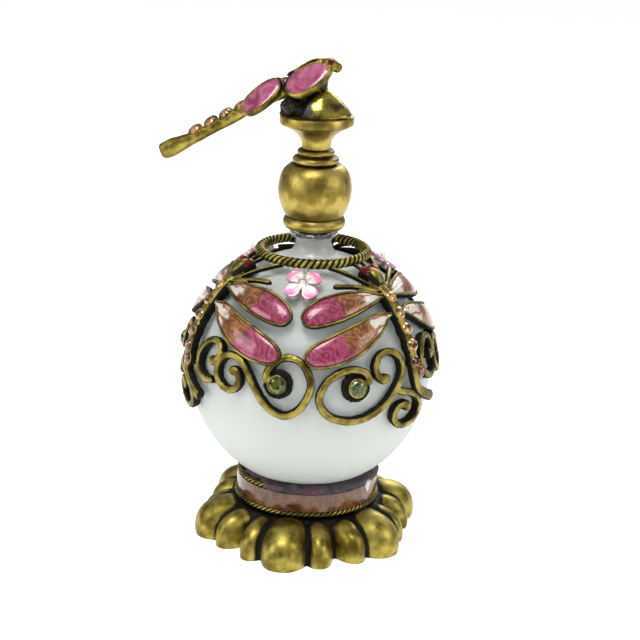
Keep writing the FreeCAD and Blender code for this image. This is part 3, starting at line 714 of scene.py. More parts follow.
LEFT_SCROLL = ((-11.3, 10.3), (-10.7, 15.6), (-6.8, 20.4), (-2.1, 22.2), (3.7, 20.6), (7.4, 15.6),
               (8.6, 10.4), (6.7, 4.3), (3.1, -0.6), (-2.1, -3.3), (-7.6, -1.7), (-12.4, 2.4),
               (-16.0, 7.3), (-20.2, 13.4), (-24.8, 17.9), (-30.2, 19.2), (-35.0, 17.2),
               (-37.0, 12.1), (-35.3, 7.0), (-30.3, 4.3), (-25.5, 5.6), (-23.9, 9.7),
               (-26.4, 13.0), (-29.8, 12.2))
LEFT_CURL = ((-38.1, 6.3), (-44.2, 5.4), (-50.1, 8.4), (-51.6, 14.6), (-48.4, 20.3), (-43.4, 23.0),
             (-38.4, 21.6), (-37.0, 17.6), (-39.6, 14.4), (-43.4, 14.6))
RIGHT_SCROLL = ((34.7, 9.6), (34.2, 14.2), (30.1, 16.7), (25.1, 16.9), (19.4, 15.0), (14.8, 11.2),
                (12.4, 5.9), (13.3, 1.1), (17.4, -3.2), (24.4, -5.6), (31.6, -5.2), (37.4, -3.1),
                (42.7, 0.0), (47.0, 4.1), (51.4, 9.4), (53.7, 14.3), (52.8, 19.1), (48.2, 22.4),
                (42.6, 22.0), (39.1, 18.4), (39.0, 13.8), (42.2, 11.0), (45.2, 12.8))
RIGHT_CURL = ((48.4, 5.4), (53.6, 3.6), (59.6, 1.4), (64.6, -3.0), (64.6, -8.6), (59.6, -12.2),
              (52.6, -11.8), (48.2, -7.6), (49.6, -3.0), (54.6, -2.2), (57.0, -5.4))
LEFT_STONE = (-5.9, 10.4)
RIGHT_STONE = (28.9, 9.2)
SETTING_R = 3.7
SCROLL_TOP = 2.6
SCROLL_VOXEL = 0.2


def scroll(main, curl, stone, middle):
    """One long scroll with its curl and setting, laid round the globe."""
    chart = north_chart(*middle)
    line = [chart.point(*station) for station in main]
    branch = [chart.point(*station) for station in curl]
    seat = chart.point(*stone)
    parts = [
        ribbon(line, 1.02, 0.1, SCROLL_TOP, square=0.86, head=1.15, tail=1.45),
        ribbon(branch, 1.02, 0.1, SCROLL_TOP, square=0.86, head=1.0, tail=1.5),
        crusty(button(seat, SETTING_R, 0.1, SCROLL_TOP - 0.85, dish=0.3), 0.28, 1.5),
        button(seat, 2.45, 0.5, SCROLL_TOP + 0.15, dish=0.5),
    ]
    return chart.wrap(crusty(cast(parts, SCROLL_VOXEL), 0.09))


in_each_bay(scroll(LEFT_SCROLL, LEFT_CURL, LEFT_STONE, (-21.0, 9.0)),
            "left_scrollwork", "scroll_left", cage_brass)
in_each_bay(scroll(RIGHT_SCROLL, RIGHT_CURL, RIGHT_STONE, (38.0, 6.0)),
            "right_scrollwork", "scroll_right", cage_brass)

# ---------------------------------------------------------------- cut stones
# Machine-cut crystals with a foiled pointed back: green in the scrolls, amber and garnet down each
# dragonfly's tail, and garnet eyes. They are glued into their settings.


def cut_stone(girdle):
    """Faceted stone with its girdle at z = 0: table, crown, girdle and pavilion."""
    bm = bmesh.new()
    for count, turn, r, z in ((8, 0.0, 0.55, 0.50), (8, 0.5, 0.84, 0.34), (16, 0.0, 1.0, 0.10),
                              (16, 0.0, 1.0, 0.0), (8, 0.5, 0.5, -0.45), (1, 0.0, 0.0, -0.85)):
        for i in range(count):
            angle = math.tau * (i + turn) / count
            bm.verts.new((r * girdle * math.cos(angle), r * girdle * math.sin(angle), z * girdle))
    bmesh.ops.convex_hull(bm, input=bm.verts)
    bmesh.ops.dissolve_limit(bm, angle_limit=math.radians(2), verts=bm.verts, edges=bm.edges)
    bmesh.ops.recalc_face_normals(bm, faces=bm.faces)
    return bm


def set_stone(girdle, base, direction, turn=0.0):
    """Stone with its girdle's middle at base and its table facing a direction."""
    bm = cut_stone(girdle)
    frame_of_stone = (Matrix.Translation(base) @ direction.to_track_quat("Z", "Y").to_matrix().to_4x4()
                      @ Matrix.Rotation(turn, 4, "Z"))
    bmesh.ops.transform(bm, matrix=frame_of_stone, verts=bm.verts)
    return bm


def foiled(dark, lit_tone, gloss=1.0):
    """Paint for a foiled stone: painted facet light, a dark tone and a lit tone of its colour mixed in spots
    as light plays from facet to facet.
    """
    def paint(wire, place):
        # Painted glints: spots of the lit tone over the dark one stand for light off the facets and foil.
        painted_facet_glints = place.spots(900.0, 1.0)
        return {"Base Color": painted_facet_glints.ramp(0.38, 0.60).mix(dark, lit_tone), "Metallic": 0.45,
                "Roughness": 0.07, "Coat Weight": gloss, "Coat Roughness": 0.01,
                "Specular IOR Level": 0.8 * gloss}
    return paint


FACETED = 1.0
green_glass = finish("green_crystal", foiled(rgb(20, 30, 4), rgb(90, 106, 26)))
amber_glass = finish("amber_crystal", foiled(rgb(70, 42, 14), rgb(202, 158, 84)))
garnet_glass = finish("garnet_crystal", foiled(rgb(44, 8, 4), rgb(132, 52, 26)))
eye_glass = finish("eye_crystal", foiled(rgb(84, 8, 14), rgb(128, 20, 28), gloss=0.3))


def globe_stone(girdle, lon, lat, height):
    out = bearing(lon, lat)
    return set_stone(girdle, CENTRE + out * (GLOBE_R + height), out, turn=math.radians(lon * 7 + lat))


GREEN_GIRDLE = 1.95
green_stones = [globe_stone(GREEN_GIRDLE, *place, SCROLL_TOP) for place in (LEFT_STONE, RIGHT_STONE)]
in_each_bay(joined(green_stones), "green_stones", "green_crystals", green_glass, FACETED)

# ---------------------------------------------------------------- cage dragonflies
# One casting each: head, ridged body with a cup for each stone, a bent tail, four legs and two
# feelers that reach for the collar, and four wings with a raised rim round a pool of enamel.

FLY_LON = 60.0
TAIL_BEND = 14.0
BODY_LINE = ((0, 50.5, 1.55), (0, 47, 2.0), (0, 42, 2.1), (0, 36, 1.85), (0, 28, 1.75), (0, 18, 1.6),
             (0, 9, 1.45), (2, 3.5, 1.35), (7.5, -0.5, 1.4), (TAIL_BEND, -3.5, 1.5))
AMBER_LATS = (44.0, 36.8, 29.4, 22.4)
GARNET_PLACES = ((0.2, 15.3, 1.4), (2.4, 10.4, 1.3))
AMBER_GIRDLE = 1.5
STONE_HEIGHT = 3.5
EYES = ((-5.8, 58.6), (5.8, 58.6))
EYE_GIRDLE = 1.2
EYE_HEIGHT = 3.95
UPPER_WING = {
    "root": (-1.0, 46.0), "tip": (-56.0, 40.0),
    "leading": ((0, 0), (1.0, 0.2), (5.0, 1.9), (11.0, 2.8), (16.9, 2.9), (21.0, 1.8), (22.7, 0.4),
                (23.0, -1.2)),
    "trailing": ((0, 0), (2.5, -1.3), (7.0, -3.0), (13.8, -4.4), (19.9, -4.0), (22.4, -2.8), (23.0, -1.2)),
}
LOWER_WING = {
    "root": (-2.0, 38.0), "tip": (-53.5, 23.5),
    "leading": ((0, 0), (1.0, 0.2), (5.0, 1.5), (11.0, 1.4), (17.6, 1.5), (23.4, 1.4), (26.0, 0.3),
                (26.5, -1.2)),
    "trailing": ((0, 0), (2.5, -1.3), (6.0, -3.5), (12.4, -5.7), (19.0, -5.9), (24.2, -4.4), (26.1, -2.8),
                 (26.5, -1.2)),
}
WING_TOP = 2.9
FLY_VOXEL = 0.2
LEAF_COUNT = 72
SPINE = 99.0


def leaf(upper, lower):
    """Rings of a leaf-shaped plate from root to tip: place(inset, height) is a ring for skin."""
    def place(inset, height):
        def ring(i):
            turn = i / LEAF_COUNT
            side = upper if turn <= 0.5 else lower
            share = 2 * min(turn, 1 - turn)
            share = 0.5 - 0.5 * math.cos(math.pi * share)
            inner = 0.10 + 0.78 * share
            edge = smooth_line(side, share)
            spine = (smooth_line(upper, inner) + smooth_line(lower, inner)) / 2
            reach = (edge - spine).length
            spot = spine + (edge - spine) * max(0.0, 1 - inset / reach)
            return Vector((spot.x, spot.y, height))
        return ring
    return place


def wing_chart(wing, side):
    """(chart, upper line, lower line) of a wing on one side of the body."""
    root = bearing(FLY_LON + side * wing["root"][0], wing["root"][1])
    tip = bearing(FLY_LON + side * wing["tip"][0], wing["tip"][1])
    length = root.angle(tip) * CHART_R
    lines = []
    for edge in ("leading", "trailing"):
        lines.append([Vector((x - length / 2, -side * y, 0)) for x, y in wing[edge]])
    return Chart(root + tip, tip - root), *lines


def wing_plate(wing, side):
    """Cast plate: a thick black edge, a thin raised rim and a sunk floor."""
    chart, upper, lower = wing_chart(wing, side)
    place = leaf(upper, lower)
    rings = [place(SPINE, 0.3), place(1.0, 0.3), place(0.45, 0.9), place(0.1, 1.6), place(0, 2.3),
             place(0.08, WING_TOP - 0.12), place(0.32, WING_TOP + 0.08), place(0.62, WING_TOP),
             place(0.8, WING_TOP - 0.5), place(1.0, 2.0), place(2.2, 1.9), place(SPINE, 1.9)]
    return chart.wrap(skin(LEAF_COUNT, rings))


def wing_enamel(wing, side):
    """Domed pool of enamel, its UV map running from root to tip and across."""
    chart, upper, lower = wing_chart(wing, side)
    place = leaf(upper, lower)
    rings = [place(SPINE, 1.6), place(0.72, 1.6), place(0.66, 2.3), place(0.7, 2.6), place(0.9, 2.74),
             place(1.3, 2.88), place(1.9, 3.0), place(2.6, 3.08), place(3.6, 3.12), place(SPINE, 3.12)]
    bm = skin(LEAF_COUNT, rings)
    uv = bm.loops.layers.uv.new("along")
    tip_x = upper[-1].x
    for face in bm.faces:
        for loop in face.loops:
            co = loop.vert.co
            loop[uv].uv = ((co.x - upper[0].x) / (tip_x - upper[0].x), -side * co.y * 0.1 + 0.5)
    return chart.wrap(bm)


def body_bar(line, square=1.0):
    """Round bar on the dragonfly's chart through (lon from the body, lat, radius) stations."""
    spots = [fly_chart.point(FLY_LON + lon, lat) for lon, lat, _ in line]
    radii = [r for _, _, r in line]
    steps = (len(line) - 1) * 8
    rings = []
    for i in range(steps + 1):
        middle = smooth_line(spots, i / steps)
        ahead = smooth_line(spots, min(i / steps + 0.01, 1.0))
        behind = smooth_line(spots, max(i / steps - 0.01, 0.0))
        across = Vector((behind.y - ahead.y, ahead.x - behind.x, 0)).normalized()
        r = smooth_line([Vector((r, 0, 0)) for r in radii], i / steps).x
        middle.z = 2.2
        if i in (0, steps):
            r *= 0.3
        rings.append(oval(middle, across * r, Vector((0, 0, r * 0.85)), square, 18))
    return skin(18, rings)


def leg(start, end, thick, height):
    """Thin leg, thicker towards its end."""
    a = fly_chart.point(FLY_LON + start[0], start[1])
    b = fly_chart.point(FLY_LON + end[0], end[1])
    bow = (a + b) / 2 + Vector((0, 0.5, 0))
    return ribbon([a, bow, b], thick, height - thick, height + thick * 1.1, square=0.9, head=0.8,
                  tail=1.25, count=10, fine=8)


fly_chart = north_chart(FLY_LON, 27.0)
head_spot = fly_chart.point(FLY_LON, 55.2)
head_frame = Matrix.Translation((head_spot.x, head_spot.y, 2.4)) @ Matrix.Diagonal((2.5, 3.1, 2.6, 1))
fly_parts = [body_bar(BODY_LINE), ball(1.0, head_frame, 28, 18)]
for lat in AMBER_LATS:
    fly_parts.append(button(fly_chart.point(FLY_LON, lat), 1.95, 1.2, STONE_HEIGHT + 0.1, dish=0.4))
for lon, lat, girdle in GARNET_PLACES:
    fly_parts.append(button(fly_chart.point(FLY_LON + lon, lat), girdle + 0.4, 1.2,
                            STONE_HEIGHT - 0.25, dish=0.4))
for lon, lat in EYES:
    fly_parts.append(button(fly_chart.point(FLY_LON + lon, lat), 1.35, 1.6, 3.9, dish=0.3))
for side in (-1, 1):
    fly_parts.append(leg((-4 * side, 50.0), (-37 * side, 66.5), 0.62, 2.3))
    fly_parts.append(leg((-3 * side, 48.6), (-37 * side, 54.6), 0.66, 2.3))
    fly_parts.append(leg((-3 * side, 59.5), (-8 * side, 66.8), 0.5, 2.7))
for bm in fly_parts:
    fly_chart.wrap(bm)
for side in (1, -1):
    for wing in (UPPER_WING, LOWER_WING):
        fly_parts.append(wing_plate(wing, side))
fly = crusty(cast(fly_parts, FLY_VOXEL), 0.04)


def wing_colours(wire, place):
    """Raspberry at the tip, amber swirls, then white streaked with rust at the root."""
    uv = wire.node("UVMap", {"uv_map": "along"})
    swirl = place.spots(190.0, 4.0, 1.8)
    fine = place.spots(170.0, 2.0, 1.6)
    contour = ((fine * 34.0).sine() * 0.5 + 0.5) * 0.45 + place.spots(420.0, 3.0, 1.2) * 0.55
    drift = uv.axis("X") + (swirl - 0.5) * 0.30
    amber = contour.colours((0.20, 78, 38, 12), (0.38, 112, 62, 20), (0.60, 134, 80, 30),
                            (0.80, 156, 106, 48))
    berry = contour.colours((0.20, 96, 24, 48), (0.38, 132, 40, 70), (0.60, 148, 52, 84),
                            (0.80, 168, 74, 108))
    streak = (uv.axis("Y") * 26.0 + (swirl - 0.5) * 9.0).sine().ramp(0.45, 0.95)
    root = streak.mix(rgb(212, 207, 196), rgb(164, 84, 42))
    colour = drift.ramp(0.27, 0.36).mix(root, amber)
    colour = drift.ramp(0.54, 0.61).mix(colour, berry)
    return enamel_gloss(colour, contour, 0.3)


enamel = joined([wing_enamel(wing, side) for side in (1, -1) for wing in (UPPER_WING, LOWER_WING)])
in_each_bay(fly, "cage_dragonfly", "dragonfly", cage_brass)
in_each_bay(enamel, "wing_enamel_pools", "wing_enamel", finish("wing_enamel", wing_colours))
amber_stones = [globe_stone(AMBER_GIRDLE, FLY_LON, lat, STONE_HEIGHT) for lat in AMBER_LATS]
garnet_stones = [globe_stone(girdle, FLY_LON + lon, lat, STONE_HEIGHT - 0.3)
                 for lon, lat, girdle in GARNET_PLACES]
eye_stones = [globe_stone(EYE_GIRDLE, FLY_LON + lon, lat, EYE_HEIGHT) for lon, lat in EYES]
in_each_bay(joined(amber_stones), "amber_stones", "amber_crystals", amber_glass, FACETED)
in_each_bay(joined(garnet_stones), "garnet_stones", "dark_crystals", garnet_glass, FACETED)
in_each_bay(joined(eye_stones), "eye_stones", "eye_crystals", eye_glass, FACETED)

# ---------------------------------------------------------------- blossoms
# Silver-plated five-petalled castings under the collar: four petals hold pink enamel that fades to
# white, the fifth is bare and carries the soldered link.

BLOSSOM = (1.0, 55.6)
PETAL_ANGLES = (40.0, -52.0, -140.0, 134.0)
BARE_PETAL = 86.0
PETAL_OUTLINE = ((0.3, 0), (1.3, 1.0), (2.8, 1.95), (4.3, 1.55), (4.75, 0))
BLOSSOM_TOP = 3.0
blossom_chart = north_chart(*BLOSSOM)


def petal(angle, rings, scale=1.0):
    """Petal plate from (inset, height) rings, turned about the blossom's middle."""
    upper = [Vector((x, y, 0)) * scale for x, y in PETAL_OUTLINE]
    lower = [Vector((x, -y, 0)) * scale for x, y in PETAL_OUTLINE]
    place = leaf(upper, lower)
    bm = skin(LEAF_COUNT, [place(*ring) for ring in rings])
    bmesh.ops.rotate(bm, cent=(0, 0, 0), matrix=Matrix.Rotation(math.radians(angle), 3, "Z"),
                     verts=bm.verts)
    return bm


CAST_PETAL = ((SPINE, 1.0), (0.3, 1.0), (0, 1.8), (0, 2.5), (0.2, BLOSSOM_TOP - 0.1),
              (0.5, BLOSSOM_TOP - 0.2), (SPINE, BLOSSOM_TOP - 0.5))
ENAMEL_PETAL = ((SPINE, 2.2), (0.12, 2.2), (0.05, 2.8), (0.15, 3.05), (0.4, 3.1), (0.8, 3.0), (1.2, 2.95),
                (SPINE, 2.9))
flower_parts = [petal(angle, CAST_PETAL) for angle in PETAL_ANGLES]
flower_parts.append(petal(BARE_PETAL, CAST_PETAL, 0.86))
flower_parts.append(ribbon([Vector((0.2, 2.5, 0)), Vector((0.2, 4.2, 0)), Vector((0.2, 5.6, 0))],
                           0.8, 1.4, 3.0, square=0.9))
heart = Vector((0, 0, 0))
flower_parts.append(button(heart, 1.5, 1.0, BLOSSOM_TOP + 0.2))
flower_parts.append(ball(0.72, Matrix.Translation((0, 0, BLOSSOM_TOP + 0.35)), 20, 14))
for angle in PETAL_ANGLES + (BARE_PETAL,):
    d = Matrix.Rotation(math.radians(angle), 3, "Z") @ Vector((1, 0, 0))
    flower_parts.append(ribbon([d * 0.8, d * 1.7, d * 2.5], 0.24, 2.6, 3.35, square=0.9, count=8))
flower = blossom_chart.wrap(cast(flower_parts, 0.14, rounds=1))
petals = joined([petal(angle, ENAMEL_PETAL) for angle in PETAL_ANGLES])
shade = petals.verts.layers.float.new("pink")
for vert in petals.verts:
    vert[shade] = step(Vector(vert.co[:2]).length + 0.5 * noise.noise(vert.co * 0.8), 2.4, 3.8)
blossom_chart.wrap(petals)


def silver(wire, place):
    cloud = place.spots(500.0)
    grey = place.spots(1500.0, 4.0).ramp(0.55, 0.75)
    return {"Base Color": (grey * 0.6).mix(rgb(224, 222, 216), rgb(120, 116, 106)), "Metallic": 0.9,
            "Roughness": cloud * 0.15 + 0.2, "Normal": cloud.bump(0.06, 0.5)}


def petal_pink(wire, place):
    share = wire.painted("pink")
    flake = place.spots(700.0, 3.0, 1.5)
    colour = (share + (flake - 0.5) * 0.3).mix(rgb(244, 234, 232), rgb(232, 140, 182))
    return enamel_gloss(colour, flake, 0.25)


in_each_bay(flower, "silver_blossom", "blossom", finish("silver_plate", silver))
in_each_bay(petals, "petal_enamel_pools", "blossom_enamel",
            finish("petal_enamel", petal_pink))

# ---------------------------------------------------------------- stopper: plug and rod
# A clear moulded plug stands in the neck and rests on it with its flange. The glass rod is fused
# into it, and the finial is glued over its spigot.

PLUG = ((0, 64.5), (2.45, 64.5), (2.86, 65.1), (2.86, NECK_TOP + 0.02), (5.3, NECK_TOP + 0.02))


def clear_glass(wire, place):
    cords = place.spots(150.0, 2.0, 1.0)
    return {"Base Color": cords.mix(rgb(240, 245, 242), rgb(250, 252, 250)),
            "Roughness": cords * 0.06, "Transmission Weight": 1.0, "IOR": 1.49,
            "Normal": cords.bump(0.15, 0.5)}


clear = finish("clear_glass", clear_glass)
plug_profile = list(PLUG) + arc(5.3, NECK_TOP + 0.52, 0.5, -90, 0, 4) + arc(5.3, 75.5, 0.5, 0, 90, 4)
plug_profile += [(3.9, 76.0), (3.4, 76.3), (3.2, 76.8), (3.2, 83.0), (0, 83.0)]
piece(turned(plug_profile, 96), "clear_stopper_plug", "stopper", ["stopper_plug"], clear)
rod_profile = arc(0, 35.4, 1.4, -90, 0, 8) + [(1.4, 74.0), (0, 74.0)]
piece(turned(rod_profile, 32), "glass_dauber", "stopper", ["dauber_rod"], clear)

# ---------------------------------------------------------------- stopper: finial
# Turned brass: a rolled rim, a bulb, two rings, a trumpet and a disc, lightly antiqued so that the
# tool marks and the grooves stay darker. It is hollow below to take the plug's spigot.


def smooth_profile(points, steps):
    """Profile points along a smooth line through a few (radius, height) points."""
    line = [Vector(point) for point in points]
    return [tuple(smooth_line(line, i / steps)) for i in range(steps + 1)]


finial_profile = [(3.7, 76.4), (6.3, 76.4)]
finial_profile += [(6.9, 76.55), (7.3, 77.0), (7.45, 77.6), (7.4, 78.3), (7.1, 78.9), (6.85, 79.15)]
finial_profile += [(6.8, 79.35), (6.95, 79.6), (7.05, 79.75)]
BULB = ((7.1, 79.8), (7.9, 81.4), (8.55, 83.6), (8.74, 85.9), (8.45, 88.2), (7.6, 90.2), (6.3, 91.5))
finial_profile += smooth_profile(BULB, 24)
finial_profile += [(5.2, 91.75), (4.95, 91.9)]
finial_profile += arc(4.7, 92.75, 0.85, -70, 75, 8)
finial_profile += [(4.45, 93.75)]
finial_profile += arc(3.75, 94.6, 0.7, -65, 65, 8)
TRUMPET = ((3.45, 95.5), (3.42, 96.4), (3.75, 97.6), (4.7, 98.9), (6.3, 100.1), (8.1, 101.0))
finial_profile += smooth_profile(TRUMPET, 20)
finial_profile += [(8.55, 101.25), (8.75, 101.5), (8.75, 103.1), (8.6, 103.35), (8.4, 103.4), (0, 103.4),
                   (0, 83.1), (3.7, 83.1), (3.7, 76.4)]
GROOVES = (79.3, 91.8, 93.75, 95.4)


def finial_relief(co):
    groove = min(abs(co.z - z) for z in GROOVES)
    return 0.25 + 0.75 * step(groove, 0.05, 0.5)


def turned_finish(wire, place):
    """Fine tool marks round the axis over antiqued brass."""
    stretch = wire.node("Mapping", (), {"Vector": place, "Scale": (60.0, 60.0, 2600.0)})
    marks = stretch.spots(1.0, 3.0)
    up_marks = wire.node("Mapping", (), {"Vector": place, "Scale": (420.0, 420.0, 60.0)}).spots(1.0, 3.0)
    paint = patina(wire.painted("relief"), place, rgb(186, 166, 90), rgb(128, 110, 50), rgb(46, 38, 18))
    paint["Normal"] = (marks + up_marks * 0.4).bump(0.03, 0.5)
    paint["Roughness"] = marks * 0.15 + up_marks * 0.1 + 0.27
    return paint


turned_brass = finish("turned_brass", turned_finish)
piece(turned(finial_profile, 160), "turned_finial", "stopper", ["finial"], turned_brass,
      crease=38.0, relief=finial_relief)
glue = turned([(3.2, 76.9), (3.7, 76.9), (3.7, 83.0), (3.2, 83.0), (3.2, 76.9)], 64)
piece(glue, "spigot_adhesive", "stopper", ["finial_cement"], bpy.data.materials["adhesive"])

# ---------------------------------------------------------------- stopper: leaf and rock
# A small casting soldered to the disc: a ridged leaf, polished over a dark patina, beside a rough
# rock. The dragonfly's belly is soldered to its peak.

LEAF_FOOT = ((-2.2, -6.4), (2.8, -7.0), (6.9, -3.6), (7.3, 1.5), (4.9, 5.2), (0.6, 6.4), (-3.4, 4.2),
             (-4.0, -1.0))
PEAK = Vector((0.7, -0.2, 110.0))
LEAF_LOW = 103.45


def leaf_ring(share, lift):
    """Ring of the leaf: share 1 is its foot and 0 its peak."""
    foot_line = [Vector((x, y, 0)) for x, y in LEAF_FOOT + LEAF_FOOT[:1]]

    def place(i):
        spot = smooth_line(foot_line, (i % 48) / 48)
        fold = 1 + 0.10 * math.cos(3 * math.tau * i / 48 + 0.8) * share
        spot = spot * share * fold + Vector((PEAK.x, PEAK.y, 0)) * (1 - share)
        return Vector((spot.x, spot.y, lift))
    return place


LEAF_SLOPE = ((0.02, LEAF_LOW), (1.0, LEAF_LOW), (1.02, LEAF_LOW + 0.5), (0.98, 104.5), (0.88, 105.6),
              (0.73, 106.8), (0.55, 108.0), (0.36, 109.1), (0.18, 109.8), (0.02, PEAK.z))
perch_parts = [skin(48, [leaf_ring(share, lift) for share, lift in LEAF_SLOPE])]
rock = bmesh.new()
bmesh.ops.create_icosphere(rock, subdivisions=4, radius=3.5)
for vert in rock.verts:
    vert.co = vert.co * (1 + 0.22 * noise.noise(vert.co * 0.7)) + Vector((-5.2, -0.6, 104.2))
perch_parts.append(cut_level(rock, LEAF_LOW))


def rod(stations, square=1.0, count=16, fine=6):
    """Bar along a smooth line in the plane y = 0 through (x, z, half width, half height) stations."""
    spots = [Vector((x, 0, z)) for x, z, _, _ in stations]
    sizes = [Vector((w, h, 0)) for _, _, w, h in stations]
    steps = (len(stations) - 1) * fine
    rings = []
    for i in range(steps + 1):
        share = i / steps
        along = smooth_line(spots, min(share + 0.01, 1.0)) - smooth_line(spots, max(share - 0.01, 0.0))
        up = Vector((-along.z, 0, along.x)).normalized()
        size = smooth_line(sizes, share)
        if i in (0, steps):
            size = size * 0.35
        rings.append(oval(smooth_line(spots, share), Vector((0, size.x, 0)), up * size.y, square, count))
    return skin(count, rings)


perch_parts.append(rod([(-5.9, 104.0, 2.2, 2.2), (-5.9, 107.0, 1.7, 1.7), (-5.8, 110.2, 1.5, 1.5)]))
perch_parts.append(rod([(0.7, 108.4, 1.2, 1.2), (1.2, 110.6, 1.5, 1.2), (1.6, 113.0, 1.5, 1.0)]))
perch_parts.append(rod([(-2.6, 103.8, 2.6, 2.0), (-2.8, 107.0, 2.2, 1.8), (-3.2, 110.6, 1.6, 1.6)]))
perch = cast(perch_parts, 0.2)
for vert in perch.verts:
    if vert.co.x < -2.0:
        vert.co += noise.noise_vector(vert.co * 1.5) * 0.22 * step(-vert.co.x, 2.0, 3.5)


def perch_relief(co):
    """Bright along the leaf's foot and ridges, black under the dragonfly."""
    rim = step(Vector(co[:2]).length, 5.5, 8.2)
    shade = step(co.x, -2.5, 0.6) * (0.72 + 0.45 * noise.noise(co * 0.5))
    return max(rim * step(co.x, -3.0, 0.0) * 0.95, shade * 0.8, 0.30 * step(co.z, 104.0, 109.0))


def polished_relief(wire, place):
    return patina(wire.painted("relief"), place, rgb(182, 166, 80), rgb(88, 78, 32), rgb(44, 43, 38),
                  polish=0.12)


piece(perch, "leaf_and_rock", "stopper", ["leaf_mount"],
      finish("polished_antique", polished_relief), relief=perch_relief)

# ---------------------------------------------------------------- stopper: dragonfly
# A heavier casting than those of the cage. It lies nose up along X: a blunt tail with four
# stones in scalloped cups, four dished wings that droop, a waist darkened by painted shadow and a rounded
# head.

TAIL = ((-37.2, 92.2, 1.2, 1.5), (-36.4, 92.6, 1.6, 2.0), (-34.4, 93.6, 1.8, 2.15), (-32.2, 94.7, 1.75, 1.85),
        (-30.2, 95.7, 1.6, 1.55), (-27.8, 97.0, 1.5, 1.4), (-24.4, 99.0, 1.5, 1.35), (-20.7, 101.2, 1.5, 1.5),
        (-17.2, 103.4, 1.5, 1.5), (-12.2, 106.4, 1.7, 1.7), (-8.6, 108.6, 2.0, 2.0),
        (-5.0, 110.4, 2.0, 2.1), (-1.0, 112.3, 1.8, 2.1), (2.0, 114.3, 1.8, 1.8))
TAIL_STONES = ((-28.9, 98.6), (-25.2, 100.8), (-21.6, 102.9), (-18.0, 104.9))
WAIST_STONE = (-7.9, 111.2)
TAIL_UP = Vector((-0.42, -0.50, 0.76)).normalized()
STONE_SIDE = -0.5
PIVOT = Vector((-7.3, 0, 112.6))
PITCH = math.radians(24.0)
DROOP = math.radians(38.0)
FRONT_WING = {"centre": (4.7, 3.05), "turn": 156.0, "half": (6.1, 4.4), "blunt": 0.86}
REAR_WING = {"centre": (-7.1, 3.4), "turn": 150.0, "half": (6.0, 3.3), "blunt": 0.92}


def wing_frame(wing, side):
    """Matrix from a wing's own plane to the stopper: x along it, y across, z out of its face."""
    forward = Vector((math.cos(PITCH), 0, math.sin(PITCH)))
    out = Vector((math.sin(PITCH) * math.sin(DROOP), side * math.cos(DROOP),
                  -math.cos(PITCH) * math.sin(DROOP)))
    turn = math.radians(wing["turn"])
    x_axis = (forward * math.cos(turn) + out * math.sin(turn)).normalized()
    face = forward.cross(out) * side
    y_axis = face.cross(x_axis)
    s, t = wing["centre"]
    turned_axes = Matrix((x_axis, y_axis, face)).transposed().to_4x4()
    return Matrix.Translation(PIVOT + forward * s + out * t) @ turned_axes


def dish(wing, side, rings, gap):
    """Oval plate of a top wing from (inset, height) rings, kept a gap clear of the spine."""
    long_half, wide_half = wing["half"]
    made = []
    for inset, height in rings:
        a = max(long_half - inset, 0.02)
        b = max(wide_half - inset, 0.02)
        made.append(oval(Vector((0, 0, height)), Vector((a, 0, 0)), Vector((0, b, 0)), wing["blunt"], 48))
    bm = skin(48, made)
    bmesh.ops.transform(bm, matrix=wing_frame(wing, side), verts=bm.verts)
    for vert in bm.verts:
        vert.co.y = side * max(side * vert.co.y, gap)
    bmesh.ops.recalc_face_normals(bm, faces=bm.faces)
    return bm


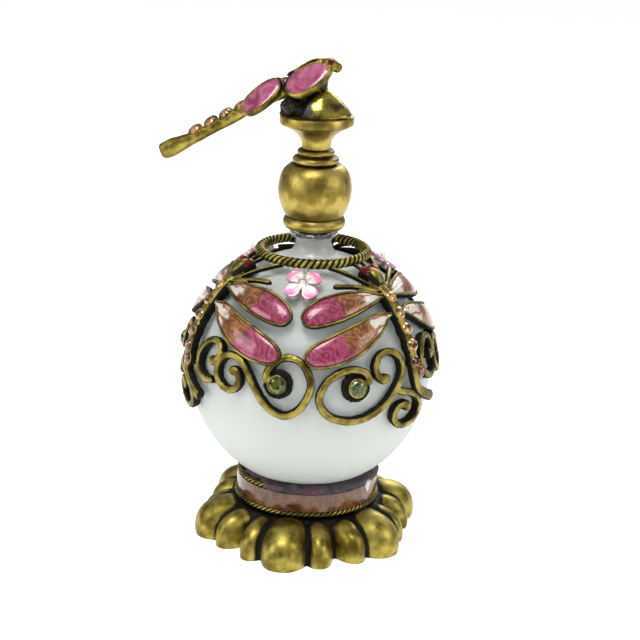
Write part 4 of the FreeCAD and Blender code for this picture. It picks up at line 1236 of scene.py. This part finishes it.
CAST_DISH = ((SPINE, -2.2), (1.2, -2.2), (0.5, -1.95), (0.1, -1.3), (0, -0.5), (0.06, 0.0), (0.28, 0.2),
             (0.52, 0.1), (0.7, -0.3), (1.2, -0.5), (SPINE, -0.6))
SPINE_RIDGE = ((-7.4, 112.2, 0.5, 0.5), (-3.2, 114.3, 0.7, 0.7), (1.4, 116.2, 0.8, 0.7))
ENAMEL_DISH = ((SPINE, -0.8), (0.7, -0.8), (0.55, -0.2), (0.6, 0.02), (0.9, 0.14), (1.5, 0.28),
               (2.3, 0.36), (SPINE, 0.4))
top_parts = [rod(TAIL, square=0.85)]
for x, z in TAIL_STONES:
    cup = bmesh.new()
    bmesh.ops.create_cone(cup, cap_ends=True, segments=28, radius1=1.6, radius2=1.95, depth=1.9)
    bmesh.ops.transform(cup, matrix=Matrix.Translation(Vector((x, STONE_SIDE, z - 0.35)) - TAIL_UP * 0.8)
                        @ TAIL_UP.to_track_quat("Z", "Y").to_matrix().to_4x4(), verts=cup.verts)
    top_parts.append(cup)
for side in (-1, 1):
    for wing in (FRONT_WING, REAR_WING):
        top_parts.append(dish(wing, side, CAST_DISH, 0.0))
top_parts.append(rod(SPINE_RIDGE))
for x, z, r, flat in ((2.6, 115.2, 2.1, 0.8), (4.3, 114.7, 1.25, 1.0)):
    top_parts.append(ball(r, Matrix.Translation((x, 0, z)) @ Matrix.Diagonal((1, 1, flat, 1))))
top_fly = crusty(cast(top_parts, 0.19), 0.06, 0.6)


def fly_shadow(co):
    """Painted shadow, black in the waist under the wing roots; rubbed metal, mottled, elsewhere."""
    # Painted shadow: the waist under the wing roots goes black.
    painted_waist_shadow = 1 - (1 - step((co - Vector((-6.8, 0, 110.6))).length, 1.6, 4.0)) * 0.95
    mottle = 0.78 + 0.35 * noise.noise(co * 0.35)
    return painted_waist_shadow * mottle


piece(top_fly, "stopper_dragonfly", "stopper", ["top_dragonfly"], antique_brass,
      relief=fly_shadow)


def rose_enamel(wire, place):
    swirl = place.spots(150.0, 4.0, 1.6)
    colour = swirl.colours((0.34, 122, 40, 72), (0.46, 158, 70, 104), (0.54, 182, 100, 132),
                           (0.60, 150, 60, 94), (0.68, 170, 86, 118))
    return enamel_gloss(colour, swirl, 0.22)


rose = joined([dish(wing, side, ENAMEL_DISH, 0.45) for side in (-1, 1) for wing in (FRONT_WING, REAR_WING)])
piece(rose, "rose_enamel_pools", "stopper", ["top_wing_enamel"],
      finish("rose_enamel", rose_enamel))
tail_stones = [set_stone(1.35, Vector((x, STONE_SIDE, z - 0.35)), TAIL_UP, x)
               for x, z in TAIL_STONES + (WAIST_STONE,)]
rose_gold = finish("rose_gold_crystal", foiled(rgb(72, 38, 14), rgb(190, 132, 70)))
piece(joined(tail_stones), "tail_stones", "stopper", ["top_crystals"], rose_gold,
      FACETED)
top_eyes = [set_stone(0.8, Vector((3.0, side * 1.55, 116.0)), Vector((0.1, side, 0.55)).normalized())
            for side in (-1, 1)]
piece(joined(top_eyes), "stopper_eyes", "stopper", ["top_eye_crystals"], eye_glass,
      FACETED)
